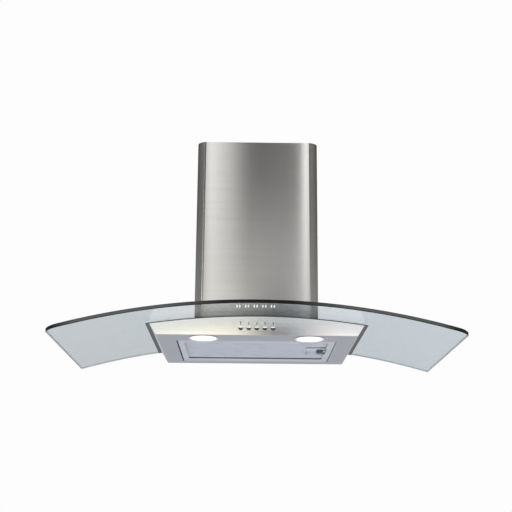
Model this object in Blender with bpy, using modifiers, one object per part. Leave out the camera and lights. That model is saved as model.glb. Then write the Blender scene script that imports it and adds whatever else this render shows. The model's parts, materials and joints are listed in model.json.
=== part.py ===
"""Wall-mounted chimney cooker hood with a bent glass canopy, as separate pieces.

Metres, +Z up. X runs along the wall and Y runs into it, so the front faces -Y. The origin is the
centre of the wall plate's rear face, on the wall plane and on the hood's centre line.
"""

from math import atan2, cos, pi, radians, sin, sqrt

import bmesh
import bpy
from mathutils import Matrix, Vector

# ---- Driving dimensions -------------------------------------------------------------------------

CLEARANCE = 0.0003  # between pieces that rest on or in each other
UNDERSIDE_Z = -0.210  # height of the body's flat underside
WALL_GAP = 0.001  # sheet edges stop this far in front of the wall

# Bent glass canopy: one cylinder whose axis runs front to back
GLASS_WIDTH = 0.898
GLASS_DEPTH = 0.500
GLASS_THICKNESS = 0.0080
GLASS_RADIUS = 1.608  # of its underside
GLASS_FRONT_CORNER = 0.024
GLASS_REAR_CORNER = 0.006
GLASS_STEPS = 32

# Body under the glass
BODY_HEIGHT = 0.0446  # underside of the body to underside of the glass, on the centre line
BODY_TOP_WIDTH = 0.4838
BODY_BOTTOM_WIDTH = 0.4506
BODY_DEPTH = 0.3761
SHEET = 0.0012
FASCIA_SHEET = 0.0015
GASKET_THICKNESS = 0.0020
GASKET_OVERHANG = 0.0070
GASKET_WIDTH = 0.030
GASKET_REAR_SETBACK = 0.010

# Air passage through the body's top, the glass and the frame that clamps it
PASSAGE_WIDTH = 0.196
PASSAGE_REAR_Y = -0.028
PASSAGE_DEPTH = 0.202
PASSAGE_CORNER = 0.012
CLAMP_WIDTH = 0.024  # of the rings round the passage
CLAMP_TOP = 0.0640  # above the underside
BOLT_RADIUS = 0.0025
BOLT_HEAD_RADIUS = 0.0045
BOLT_HEAD_HEIGHT = 0.003
BOLT_HOLE_RADIUS = 0.0031
NUT_HEIGHT = 0.004

# Filter opening and grease filter
OPENING_HALF_WIDTH = 0.1840
OPENING_FRONT_Y = -0.3045
OPENING_REAR_Y = -0.0335
FILTER_SIDE_GAP = 0.0030
FILTER_END_GAP = 0.0010
FILTER_HEIGHT = 0.0090
FILTER_LIP = 0.0010
FIELD_SIDE_MARGIN = 0.0145
FIELD_FRONT_MARGIN = 0.0190
FIELD_REAR_MARGIN = 0.0345
POCKET_MARGIN = 0.0040
MESH_THICKNESS = 0.0030
TAB_WIDTH = 0.030
TAB_LENGTH = 0.0055
TAB_SPACING = 0.150
PULL_WIDTH = 0.0500
PULL_LENGTH = 0.0780
PULL_CENTRE_Y = -0.1797
PULL_FRONT_GAP = 0.0060  # between the mesh and the pull, for a fingernail
LATCH_CENTRE_Y = -0.1510
PULL_WALL = 0.0010
LATCH_PAD_WIDTH = 0.0150
LATCH_PAD_LENGTH = 0.0140
LATCH_PAD_GAP = 0.0050
TONGUE_WIDTH = 0.010
TONGUE_THICKNESS = 0.0020
TONGUE_HEIGHT = 0.0045
TONGUE_SLIDING_GAP = 0.0004
TONGUE_SETBACK = 0.0008

# Lamps
LAMP_SPACING = 0.240
LAMP_FRONT_SETBACK = 0.0361  # lamp centre behind the fascia's face
LAMP_BEZEL_RADIUS = 0.0340
LAMP_BEZEL_HEIGHT = 0.0020
LAMP_LENS_RADIUS = 0.0300
LAMP_LENS_THICKNESS = 0.0025
LAMP_CAN_RADIUS = 0.0315
LAMP_CAN_HEIGHT = 0.0240
LAMP_CAN_WALL = 0.0010
BULB_RADIUS = 0.0048
BULB_LENGTH = 0.0120

# Push buttons
BUTTON_COUNT = 5
BUTTON_PITCH = 0.0181
BUTTON_HEIGHT = 0.0165  # centre above the underside
BUTTON_RADIUS = 0.0052
BUTTON_PROUD = 0.0045
BUTTON_TRAVEL = 0.0030
BUTTON_HOLE_GAP = 0.0004
BUTTON_ROUND = 0.0012
BUTTON_CAP_DEPTH = 0.0085
STEM_RADIUS = 0.0018
STEM_LENGTH = 0.0090
STEM_GAP = 0.0004
SPRING_LENGTH = 0.0064
SPRING_RADIUS = 0.0030
SPRING_WIRE = 0.0003
SPRING_TURNS = 3
SWITCH_BANK_DEPTH = 0.022
SWITCH_BANK_HEIGHT = 0.020
SWITCH_BANK_MARGIN = 0.011

# Chimney covers
CHIMNEY_WIDTH = 0.2944
CHIMNEY_DEPTH = 0.262
CHIMNEY_CORNER = 0.021
CHIMNEY_TOP = 0.5067  # above the underside
COVER_SHEET = 0.0010
COVER_NEST_GAP = 0.0015
COVER_FLANGE = 0.018
COVER_BEND = 0.003
UPPER_BOTTOM = 0.0760
UPPER_SETBACK = 0.0020
VENT_COUNT = 6
VENT_LENGTH = 0.034
VENT_HEIGHT = 0.004
VENT_PITCH = 0.009
VENT_TOP_MARGIN = 0.030
BRACKET_HEIGHT = 0.030
BRACKET_TOP_MARGIN = 0.012
BRACKET_LEG = 0.045
BRACKET_SHEET = 0.0015

# Wall plate and fan box
WALL_PLATE_WIDTH = 0.200
WALL_PLATE_BOTTOM = -0.090
WALL_PLATE_TOP = 0.110
WALL_PLATE_STANDOFF = 0.0145
WALL_PLATE_SHEET = 0.0020
WALL_BOLT_RADIUS = 0.0045
WALL_BOLT_SPACING = 0.140
WALL_BOLT_Z = 0.080
FAN_BOX_WIDTH = 0.210
FAN_BOX_FRONT_Y = -0.240
FAN_BOX_TOP = 0.2900
FAN_BOX_SHEET = 0.0010

# Blower: scroll housing, double-inlet impeller and motor on one horizontal axis
FAN_AXIS_Y = -0.133
FAN_AXIS_HEIGHT = 0.172
SCROLL_WIDTH = 0.116
SCROLL_WALL = 0.0016
SCROLL_MIN_RADIUS = 0.077
SCROLL_MAX_RADIUS = 0.100
SCROLL_CUTOFF_DEG = 72.0
INLET_RADIUS = 0.058
IMPELLER_RADIUS = 0.068
IMPELLER_INNER_RADIUS = 0.058
IMPELLER_WIDTH = 0.100
IMPELLER_RING = 0.0030
IMPELLER_WEB = 0.0030
BLADE_COUNT = 16
BLADE_THICKNESS = 0.0035
HUB_RADIUS = 0.011
HUB_LENGTH = 0.014
SHAFT_RADIUS = 0.0040
SHAFT_OVERHANG = 0.004
MOTOR_RADIUS = 0.042
MOTOR_LENGTH = 0.052
MOTOR_GAP = 0.004  # impeller web to motor
BEARING_RADIUS = 0.010
BEARING_WIDTH = 0.006
BEARING_GAP = 0.0004
MOTOR_BAR_LENGTH = 0.150
MOTOR_BAR_WIDTH = 0.034
MOTOR_BAR_THICKNESS = 0.003
CAPACITOR_RADIUS = 0.013
CAPACITOR_LENGTH = 0.055

# Outlet collar with a two-leaf damper
COLLAR_RADIUS = 0.075
COLLAR_WALL = 0.0015
COLLAR_HEIGHT = 0.045
COLLAR_CENTRE_Y = -0.100
COLLAR_FLANGE = 0.010
COLLAR_FLANGE_THICKNESS = 0.002
DAMPER_SEAT_WIDTH = 0.0045
DAMPER_SEAT_HEIGHT = 0.010
DAMPER_SEAT_THICKNESS = 0.0018
DAMPER_EDGE_GAP = 0.0015
DAMPER_SHEET = 0.0012
DAMPER_ROD_RADIUS = 0.0015
DAMPER_KNUCKLE_RADIUS = 0.0032
DAMPER_KNUCKLE_LENGTH = 0.012
DAMPER_RUNNING_GAP = 0.0003
DAMPER_KNUCKLE_OFFSETS = (0.044, 0.024)

# Electrics
TERMINAL_BOX_SIZE = Vector((0.030, 0.070, 0.050))
TERMINAL_BOX_HEIGHT = 0.190
TERMINAL_BOX_Y = -0.125
TERMINAL_BOX_WALL = 0.0015
TERMINAL_BLOCK_SIZE = Vector((0.014, 0.044, 0.016))
GLAND_RADIUS = 0.0085
GLAND_LENGTH = 0.014
GLAND_BORE = 0.0042
DRIVER_SIZE = Vector((0.026, 0.090, 0.018))
DRIVER_Y = -0.190
CABLE_RADIUS = 0.0022
CABLE_END_GAP = 0.0014  # a cable's end is a little off square to what it meets

# ---- Worked-out places --------------------------------------------------------------------------

BODY_FRONT_Y = -BODY_DEPTH
GLASS_AXIS_Z = UNDERSIDE_Z + BODY_HEIGHT - GLASS_RADIUS
GLASS_TOP_RADIUS = GLASS_RADIUS + GLASS_THICKNESS
GASKET_TOP_RADIUS = GLASS_RADIUS - CLEARANCE
GASKET_BOTTOM_RADIUS = GASKET_TOP_RADIUS - GASKET_THICKNESS
TOP_PLATE_RADIUS = GASKET_BOTTOM_RADIUS - CLEARANCE
TOP_PLATE_BOTTOM_RADIUS = TOP_PLATE_RADIUS - SHEET
TRAY_TOP_RADIUS = TOP_PLATE_BOTTOM_RADIUS - CLEARANCE
TRAY_FRONT_Y = BODY_FRONT_Y + FASCIA_SHEET + CLEARANCE
PASSAGE_FRONT_Y = PASSAGE_REAR_Y - PASSAGE_DEPTH
FAN_AXIS = Vector((0, FAN_AXIS_Y, UNDERSIDE_Z + FAN_AXIS_HEIGHT))
FAN_BOX_REAR_Y = -WALL_PLATE_STANDOFF - CLEARANCE
FAN_BOX_BOTTOM_Z = UNDERSIDE_Z + CLAMP_TOP + CLEARANCE
FAN_BOX_TOP_Z = UNDERSIDE_Z + FAN_BOX_TOP
COLLAR_BASE_Z = FAN_BOX_TOP_Z + CLEARANCE
DAMPER_SEAT_Z = COLLAR_BASE_Z + DAMPER_SEAT_HEIGHT + DAMPER_SEAT_THICKNESS
DAMPER_AXIS_Z = DAMPER_SEAT_Z + CLEARANCE + DAMPER_SHEET + DAMPER_ROD_RADIUS
FILTER_HALF_WIDTH = OPENING_HALF_WIDTH - FILTER_SIDE_GAP
FILTER_FRONT_Y = OPENING_FRONT_Y + FILTER_END_GAP
FILTER_REAR_Y = OPENING_REAR_Y - FILTER_END_GAP
FIELD_HALF_WIDTH = FILTER_HALF_WIDTH - FIELD_SIDE_MARGIN
FIELD_FRONT_Y = FILTER_FRONT_Y + FIELD_FRONT_MARGIN
FIELD_REAR_Y = FILTER_REAR_Y - FIELD_REAR_MARGIN
PULL_RIGHT_X = FIELD_HALF_WIDTH + POCKET_MARGIN - CLEARANCE
PULL_LEFT_X = PULL_RIGHT_X - PULL_WIDTH
LAMP_Y = BODY_FRONT_Y + LAMP_FRONT_SETBACK
BUTTON_Z = UNDERSIDE_Z + BUTTON_HEIGHT
BUTTON_FRONT_Y = BODY_FRONT_Y - BUTTON_PROUD
BUTTON_BACK_Y = BUTTON_FRONT_Y + BUTTON_CAP_DEPTH
SWITCH_FRONT_Y = BUTTON_BACK_Y + SPRING_LENGTH + 2 * CLEARANCE
SWITCH_HALF_WIDTH = (BUTTON_COUNT - 1) * BUTTON_PITCH / 2 + SWITCH_BANK_MARGIN
CHIMNEY_TOP_Z = UNDERSIDE_Z + CHIMNEY_TOP

PALETTE = {
    "brushed_steel": ((0.52, 0.51, 0.50), 0.32, 1.0),
    "galvanised": ((0.55, 0.57, 0.58), 0.45, 1.0),
    "aluminium": ((0.60, 0.63, 0.67), 0.38, 1.0),
    "glass": ((0.62, 0.68, 0.70), 0.03, 0.0),
    "rubber": ((0.03, 0.03, 0.03), 0.70, 0.0),
    "black_plastic": ((0.03, 0.03, 0.035), 0.45, 0.0),
    "white_plastic": ((0.75, 0.75, 0.72), 0.45, 0.0),
    "lens": ((0.95, 0.95, 0.92), 0.15, 0.0),
    "brass": ((0.72, 0.55, 0.26), 0.35, 1.0),
}

# ---- Modelling helpers --------------------------------------------------------------------------


def clear_scene():
    for obj in list(bpy.data.objects):
        bpy.data.objects.remove(obj, do_unlink=True)


def new_collection(name):
    collection = bpy.data.collections.new(name)
    bpy.context.scene.collection.children.link(collection)
    return collection


def make_materials():
    made = {}
    for name, (colour, roughness, metallic) in PALETTE.items():
        material = bpy.data.materials.new(name)
        material.use_nodes = True
        shader = material.node_tree.nodes["Principled BSDF"]
        shader.inputs["Base Color"].default_value = (*colour, 1)
        shader.inputs["Roughness"].default_value = roughness
        shader.inputs["Metallic"].default_value = metallic
        made[name] = material
    return made


clear_scene()
PARTS = new_collection("chimney_hood")
CUTTERS = new_collection("cutters")
MATERIALS = make_materials()


def piece(obj, name, material):
    """Names an object, gives it its material and files it with the pieces."""
    obj.name = name
    obj.data.materials.clear()
    obj.data.materials.append(MATERIALS[material])
    return obj


def mesh_object(name, build):
    """An object whose mesh is filled by build(bmesh)."""
    mesh = bpy.data.meshes.new(name)
    bm = bmesh.new()
    build(bm)
    bm.to_mesh(mesh)
    bm.free()
    obj = bpy.data.objects.new(name, mesh)
    PARTS.objects.link(obj)
    return obj


def box(name, low, high):
    low, high = Vector(low), Vector(high)
    place = Matrix.Translation((low + high) / 2) @ Matrix.Diagonal((*(high - low), 1))
    return mesh_object(name, lambda bm: bmesh.ops.create_cube(bm, size=1, matrix=place))


AXIS_TURNS = {
    "X": Matrix.Rotation(pi / 2, 4, "Y"),
    "Y": Matrix.Rotation(-pi / 2, 4, "X"),
    "Z": Matrix.Identity(4),
}


def cylinders(name, centres, radius, length, axis, segments=16):
    """Equal round bars, each centred on one of centres."""

    def build(bm):
        for centre in centres:
            bmesh.ops.create_cone(
                bm,
                cap_ends=True,
                segments=segments,
                radius1=radius,
                radius2=radius,
                depth=length,
                matrix=Matrix.Translation(centre) @ AXIS_TURNS[axis],
            )

    return mesh_object(name, build)


PLANES = {
    "XY": Matrix(((1, 0, 0), (0, 1, 0), (0, 0, 1))),
    "XZ": Matrix(((1, 0, 0), (0, 0, -1), (0, 1, 0))),
    "YZ": Matrix(((0, 0, 1), (1, 0, 0), (0, 1, 0))),
}


def solid_from_curve(curve):
    """The curve object's mesh, with its caps welded, in the curve's place."""
    bpy.context.view_layer.update()
    graph = bpy.context.evaluated_depsgraph_get()
    mesh = bpy.data.meshes.new_from_object(curve.evaluated_get(graph))
    bm = bmesh.new()
    bm.from_mesh(mesh)
    bmesh.ops.remove_doubles(bm, verts=bm.verts, dist=1e-6)
    bmesh.ops.recalc_face_normals(bm, faces=bm.faces)
    bm.to_mesh(mesh)
    bm.free()
    obj = bpy.data.objects.new(curve.name, mesh)
    obj.matrix_world = curve.matrix_world.copy()
    PARTS.objects.link(obj)
    bpy.data.objects.remove(curve, do_unlink=True)
    return obj


def add_spline(data, points, cyclic):
    spline = data.splines.new("POLY")
    spline.points.add(len(points) - 1)
    for target, point in zip(spline.points, points):
        target.co = (*point, 0, 1) if len(point) == 2 else (*point, 1)
    spline.use_cyclic_u = cyclic


def plate(name, loops, low, high, plane="XY"):
    """A flat piece between low and high along the plane's normal; loops after the first are holes."""
    data = bpy.data.curves.new(name, "CURVE")
    data.dimensions = "2D"
    data.fill_mode = "BOTH"
    data.extrude = (high - low) / 2
    for loop in loops:
        add_spline(data, loop, True)
    curve = bpy.data.objects.new(name, data)
    PARTS.objects.link(curve)
    turn = PLANES[plane]
    middle = (low + high) / 2
    offset = turn.col[2] * (-middle if plane == "XZ" else middle)
    curve.matrix_world = Matrix.Translation(offset) @ turn.to_4x4()
    return solid_from_curve(curve)


def wire(name, points, radius, sides_level=2):
    """A round wire through the points, with closed ends."""
    data = bpy.data.curves.new(name, "CURVE")
    data.dimensions = "3D"
    data.bevel_depth = radius
    data.bevel_resolution = sides_level
    data.use_fill_caps = True
    add_spline(data, [tuple(point) for point in points], False)
    curve = bpy.data.objects.new(name, data)
    PARTS.objects.link(curve)
    return curve


def turned(name, profile, centre, axis="Z", segments=24, closed=True):
    """A profile of (radius, height) points, turned about an axis through centre."""
    mesh = bpy.data.meshes.new(name)
    count = len(profile)
    edges = [(i, (i + 1) % count) for i in range(count if closed else count - 1)]
    mesh.from_pydata([(radius, 0, height) for radius, height in profile], edges, [])
    obj = bpy.data.objects.new(name, mesh)
    PARTS.objects.link(obj)
    screw = obj.modifiers.new("turn", "SCREW")
    screw.axis = "Z"
    screw.steps = segments
    screw.render_steps = segments
    screw.use_merge_vertices = True
    screw.merge_threshold = 0.00001
    obj.matrix_world = Matrix.Translation(centre) @ AXIS_TURNS[axis]
    return obj


def folded_sheet(name, path, low, high, thickness):
    """A sheet standing on an open path in plan, thickened towards the right of the path."""

    def build(bm):
        foot = [bm.verts.new((x, y, low)) for x, y in path]
        edges = [bm.edges.new(pair) for pair in zip(foot, foot[1:])]
        raised = bmesh.ops.extrude_edge_only(bm, edges=edges)["geom"]
        tops = [part for part in raised if isinstance(part, bmesh.types.BMVert)]
        bmesh.ops.translate(bm, verts=tops, vec=(0, 0, high - low))

    obj = mesh_object(name, build)
    solidify = obj.modifiers.new("sheet", "SOLIDIFY")
    solidify.thickness = thickness
    solidify.offset = -1
    solidify.use_even_offset = True
    return obj


def as_cutter(obj):
    obj.hide_render = True
    obj.display_type = "WIRE"
    PARTS.objects.unlink(obj)
    CUTTERS.objects.link(obj)
    return obj


def boolean(obj, other, operation):
    modifier = obj.modifiers.new(other.name, "BOOLEAN")
    modifier.operation = operation
    modifier.solver = "EXACT"
    modifier.object = as_cutter(other) if other.name in PARTS.objects else other
    return obj


def cut(obj, *others):
    for other in others:
        boolean(obj, other, "DIFFERENCE")
    return obj


def join(obj, *others):
    for other in others:
        boolean(obj, other, "UNION")
    return obj


def bevel(obj, width, segments=2, angle=40):
    modifier = obj.modifiers.new("edges", "BEVEL")
    modifier.width = width
    modifier.segments = segments
    modifier.limit_method = "ANGLE"
    modifier.angle_limit = radians(angle)
    return obj


def smooth(obj, angle=35):
    obj.data.shade_smooth()
    obj.data.set_sharp_from_angle(angle=radians(angle))
    return obj


def on_pivot(name, place, objects):
    """An empty on a joint's axis that carries the moving pieces."""
    empty = bpy.data.objects.new(name, None)
    empty.location = place
    PARTS.objects.link(empty)
    bpy.context.view_layer.update()
    for obj in objects:
        obj.parent = empty
        obj.matrix_parent_inverse = empty.matrix_world.inverted()


# ---- Outlines -----------------------------------------------------------------------------------


def arc_z(radius, x):
    """Height of the canopy's cylinder of this radius at x."""
    return GLASS_AXIS_Z + sqrt(radius**2 - x**2)


def arc(radius, x_start, x_end, steps):
    """Points (x, z) on the canopy's cylinder of this radius, evenly spaced in x."""
    points = []
    for i in range(steps + 1):
        x = x_start + (x_end - x_start) * i / steps
        points.append((x, arc_z(radius, x)))
    return points


def circle(x, y, radius, segments=20):
    return [
        (x + radius * cos(2 * pi * i / segments), y + radius * sin(2 * pi * i / segments))
        for i in range(segments)
    ]


def fillet(x, y, radius, start_deg, end_deg, steps):
    """Points on a corner arc about (x, y)."""
    turn = [radians(start_deg + (end_deg - start_deg) * i / steps) for i in range(steps + 1)]
    return [(x + radius * cos(a), y + radius * sin(a)) for a in turn]


def rounded_rectangle(x0, y0, x1, y1, front, rear=None, steps=4):
    """A rectangle in plan whose two front and two rear corners have their own radii."""
    rear = front if rear is None else rear
    return (
        fillet(x0 + front, y0 + front, front, 180, 270, steps)
        + fillet(x1 - front, y0 + front, front, 270, 360, steps)
        + fillet(x1 - rear, y1 - rear, rear, 0, 90, steps)
        + fillet(x0 + rear, y1 - rear, rear, 90, 180, steps)
    )


def rectangle(x0, y0, x1, y1):
    return [(x0, y0), (x1, y0), (x1, y1), (x0, y1)]


def passage_outline(margin=0.0):
    """The air passage in plan, grown by margin."""
    half = PASSAGE_WIDTH / 2 + margin
    corner = PASSAGE_CORNER + max(margin, 0)
    return rounded_rectangle(-half, PASSAGE_FRONT_Y - margin, half, PASSAGE_REAR_Y + margin, corner)


def body_half_width(height):
    """Half-width of the body at a height above its underside; the sides slope outwards."""
    top_height = arc_z(GLASS_RADIUS, BODY_TOP_WIDTH / 2) - UNDERSIDE_Z
    slope = (BODY_TOP_WIDTH - BODY_BOTTOM_WIDTH) / 2 / top_height
    return BODY_BOTTOM_WIDTH / 2 + slope * height


def body_side_top(radius, inset):
    """Where the body's side, drawn in by inset, meets the canopy's cylinder of this radius."""
    x = BODY_TOP_WIDTH / 2 - inset
    for _ in range(6):
        x = body_half_width(arc_z(radius, x) - UNDERSIDE_Z) - inset
    return x


def body_outline(inset, floor_z, radius):
    """Cross-section of the body: flat bottom, sloping sides, arched top."""
    bottom = body_half_width(floor_z - UNDERSIDE_Z) - inset
    top = body_side_top(radius, inset)
    return [(-bottom, floor_z), (bottom, floor_z)] + arc(radius, top, -top, 18)


def arched_sheet(name, half_width, front_y, rear_y, bottom_radius, top_radius, steps):
    """A sheet bent like the canopy, between two radii."""
    lower = arc(bottom_radius, -half_width, half_width, steps)
    upper = arc(top_radius, half_width, -half_width, steps)
    return plate(name, [lower + upper], front_y, rear_y, "XZ")


def bolt_places():
    """The four clamp bolts in plan, in the middle of the ring round the passage."""
    x = PASSAGE_WIDTH / 2 + CLAMP_WIDTH * 0.62
    inset = CLAMP_WIDTH * 0.4
    return [
        (side * x, y)
        for y in (PASSAGE_FRONT_Y - inset, PASSAGE_REAR_Y + inset)
        for side in (-1, 1)
    ]


def bolt_hole_cutter():
    middle_z = UNDERSIDE_Z + BODY_HEIGHT
    centres = [(x, y, middle_z) for x, y in bolt_places()]
    return as_cutter(cylinders("bolt_holes", centres, BOLT_HOLE_RADIUS, 0.1, "Z", 12))


BOLT_HOLES = bolt_hole_cutter()

# ---- Canopy -------------------------------------------------------------------------------------


def glass_canopy():
    half = GLASS_WIDTH / 2
    glass = arched_sheet(
        "glass_canopy", half + 0.01, -GLASS_DEPTH - 0.01, 0.01, GLASS_RADIUS, GLASS_TOP_RADIUS, GLASS_STEPS
    )
    plan = rounded_rectangle(
        -half, -GLASS_DEPTH, half, -WALL_GAP, GLASS_FRONT_CORNER, GLASS_REAR_CORNER, 6
    )
    low_z = arc_z(GLASS_RADIUS, half) - 0.02
    trim = plate("glass_plan", [plan, passage_outline()], low_z, arc_z(GLASS_TOP_RADIUS, 0) + 0.02)
    boolean(glass, trim, "INTERSECT")
    cut(glass, BOLT_HOLES)
    return smooth(piece(glass, "glass_canopy", "glass"))


def arched_ring(name, plan_loops, bottom_radius, top_radius, half_width, steps):
    """A bent sheet trimmed to an outline with a hole in plan."""
    ring = arched_sheet(
        name, half_width + 0.01, -BODY_DEPTH - 0.02, 0.01, bottom_radius, top_radius, steps
    )
    low_z = arc_z(bottom_radius, half_width) - 0.02
    trim = plate(name + "_plan", plan_loops, low_z, arc_z(top_radius, 0) + 0.02)
    return boolean(ring, trim, "INTERSECT")


def glass_gasket():
    """The dark strip on the body's front and side top edges, proud of the sides."""
    half = BODY_TOP_WIDTH / 2 + GASKET_OVERHANG
    inner = half - GASKET_WIDTH
    front_y, rear_y = BODY_FRONT_Y, -GASKET_REAR_SETBACK
    loop = [(-half, front_y), (half, front_y), (half, rear_y), (inner, rear_y)]
    loop += [(inner, front_y + GASKET_WIDTH), (-inner, front_y + GASKET_WIDTH)]
    loop += [(-inner, rear_y), (-half, rear_y)]
    strip = arched_ring("glass_gasket", [loop], GASKET_BOTTOM_RADIUS, GASKET_TOP_RADIUS, half, 18)
    return piece(strip, "glass_gasket", "rubber")


def passage_seal():
    """The rubber ring round the air passage, between the body's top and the glass."""
    loops = [passage_outline(CLAMP_WIDTH), passage_outline()]
    half = PASSAGE_WIDTH / 2 + CLAMP_WIDTH
    ring = arched_ring("passage_seal", loops, GASKET_BOTTOM_RADIUS, GASKET_TOP_RADIUS, half, 8)
    return piece(cut(ring, BOLT_HOLES), "passage_seal", "rubber")


def clamp_frame():
    """The frame that holds the glass down; its underside follows the glass and its top is flat."""
    half = PASSAGE_WIDTH / 2 + CLAMP_WIDTH
    top_z = UNDERSIDE_Z + CLAMP_TOP
    section = arc(GLASS_TOP_RADIUS + CLEARANCE, -half - 0.01, half + 0.01, 8)
    section += [(half + 0.01, top_z), (-half - 0.01, top_z)]
    frame = plate("clamp_frame", [section], PASSAGE_FRONT_Y - 0.05, 0.01, "XZ")
    loops = [passage_outline(CLAMP_WIDTH), passage_outline()]
    boolean(frame, plate("clamp_plan", loops, UNDERSIDE_Z, top_z + 0.02), "INTERSECT")
    return piece(cut(frame, BOLT_HOLES), "clamp_frame", "black_plastic")


def clamp_bolts():
    head_z = UNDERSIDE_Z + CLAMP_TOP + CLEARANCE
    for index, (x, y) in enumerate(bolt_places(), 1):
        nut_top = arc_z(TOP_PLATE_BOTTOM_RADIUS, abs(x) + BOLT_HEAD_RADIUS) - CLEARANCE
        nut_z = nut_top - NUT_HEIGHT
        profile = [
            (0, head_z + BOLT_HEAD_HEIGHT),
            (BOLT_HEAD_RADIUS, head_z + BOLT_HEAD_HEIGHT),
            (BOLT_HEAD_RADIUS, head_z),
            (BOLT_RADIUS, head_z),
            (BOLT_RADIUS, nut_top),
            (BOLT_HEAD_RADIUS, nut_top),
            (BOLT_HEAD_RADIUS, nut_z),
            (0, nut_z),
        ]
        bolt = turned("bolt", profile, (x, y, 0), segments=12, closed=False)
        piece(bolt, f"clamp_bolt_{index}", "galvanised")


# ---- Body ---------------------------------------------------------------------------------------


def lamp_places():
    return [(side * LAMP_SPACING / 2, LAMP_Y) for side in (-1, 1)]


def body_tray():
    """The pressed tray: bottom with its openings, two sides, rear and an inner front wall."""
    rear_y = -WALL_GAP
    outline = body_outline(0, UNDERSIDE_Z, TRAY_TOP_RADIUS)
    tray = plate("body_tray", [outline], TRAY_FRONT_Y, rear_y, "XZ")
    hollow_outline = body_outline(SHEET, UNDERSIDE_Z + SHEET, TRAY_TOP_RADIUS + 0.02)
    hollow = plate("tray_hollow", [hollow_outline], TRAY_FRONT_Y + SHEET, rear_y - SHEET, "XZ")
    floor_low, floor_high = UNDERSIDE_Z - 0.005, UNDERSIDE_Z + 0.005
    opening = rectangle(-OPENING_HALF_WIDTH, OPENING_FRONT_Y, OPENING_HALF_WIDTH, OPENING_REAR_Y)
    lamp_hole = LAMP_CAN_RADIUS + CLEARANCE
    lamp_centres = [(x, y, UNDERSIDE_Z) for x, y in lamp_places()]
    window_half = SWITCH_HALF_WIDTH + CLEARANCE
    window_z = BUTTON_Z - SWITCH_BANK_HEIGHT / 2 - CLEARANCE
    cut(
        tray,
        hollow,
        plate("filter_opening", [opening], floor_low, floor_high),
        cylinders("lamp_holes", lamp_centres, lamp_hole, 0.01, "Z", 28),
        box(
            "switch_window",
            (-window_half, TRAY_FRONT_Y - 0.001, window_z),
            (window_half, TRAY_FRONT_Y + SHEET + 0.001, window_z + SWITCH_BANK_HEIGHT + 2 * CLEARANCE),
        ),
    )
    return piece(tray, "body_tray", "brushed_steel")


def top_plate():
    """The body's arched top, with the air passage and the bolt holes."""
    half = body_side_top(TOP_PLATE_BOTTOM_RADIUS, 0)
    outer = rectangle(-half, TRAY_FRONT_Y, half, -WALL_GAP)
    ring = arched_ring(
        "top_plate", [outer, passage_outline()], TOP_PLATE_BOTTOM_RADIUS, TOP_PLATE_RADIUS, half, 18
    )
    return piece(cut(ring, BOLT_HOLES), "top_plate", "galvanised")


def button_places():
    first = -(BUTTON_COUNT - 1) * BUTTON_PITCH / 2
    return [first + i * BUTTON_PITCH for i in range(BUTTON_COUNT)]


def front_fascia():
    outline = body_outline(0, UNDERSIDE_Z, GASKET_BOTTOM_RADIUS - CLEARANCE)
    hole = BUTTON_RADIUS + BUTTON_HOLE_GAP
    holes = [circle(x, BUTTON_Z, hole, 20) for x in button_places()]
    fascia = plate("front_fascia", [outline] + holes, BODY_FRONT_Y, BODY_FRONT_Y + FASCIA_SHEET, "XZ")
    return piece(fascia, "front_fascia", "brushed_steel")


def switch_bank():
    """The switch block behind the fascia, with a guide hole for each button's stem."""
    half_height = SWITCH_BANK_HEIGHT / 2
    bank = box(
        "switch_bank",
        (-SWITCH_HALF_WIDTH, SWITCH_FRONT_Y, BUTTON_Z - half_height),
        (SWITCH_HALF_WIDTH, SWITCH_FRONT_Y + SWITCH_BANK_DEPTH, BUTTON_Z + half_height),
    )
    hole_depth = STEM_LENGTH - SPRING_LENGTH + BUTTON_TRAVEL + 0.001
    centres = [(x, SWITCH_FRONT_Y, BUTTON_Z) for x in button_places()]
    cut(bank, cylinders("stem_holes", centres, STEM_RADIUS + STEM_GAP, 2 * hole_depth, "Y", 12))
    return piece(bank, "switch_bank", "black_plastic")


def push_buttons():
    profile = [
        (0, BUTTON_CAP_DEPTH + STEM_LENGTH),
        (STEM_RADIUS, BUTTON_CAP_DEPTH + STEM_LENGTH),
        (STEM_RADIUS, BUTTON_CAP_DEPTH),
        (BUTTON_RADIUS, BUTTON_CAP_DEPTH),
        (BUTTON_RADIUS, BUTTON_ROUND),
        (BUTTON_RADIUS - BUTTON_ROUND * 0.3, BUTTON_ROUND * 0.3),
        (BUTTON_RADIUS - BUTTON_ROUND, 0),
        (0, 0),
    ]
    for index, x in enumerate(button_places(), 1):
        centre = (x, BUTTON_FRONT_Y, BUTTON_Z)
        button = turned("button", profile, centre, axis="Y", segments=16, closed=False)
        piece(smooth(button), f"button_{index}", "brushed_steel")


def button_springs():
    steps = 8 * SPRING_TURNS
    length = SPRING_LENGTH - 2 * SPRING_WIRE
    start_y = BUTTON_BACK_Y + CLEARANCE + SPRING_WIRE
    for index, x in enumerate(button_places(), 1):
        coil = []
        for i in range(steps + 1):
            angle = 2 * pi * SPRING_TURNS * i / steps
            y = start_y + length * i / steps
            coil.append((x + SPRING_RADIUS * cos(angle), y, BUTTON_Z + SPRING_RADIUS * sin(angle)))
        piece(wire("spring", coil, SPRING_WIRE, 0), f"button_spring_{index}", "galvanised")


# ---- Lamps --------------------------------------------------------------------------------------


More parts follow.
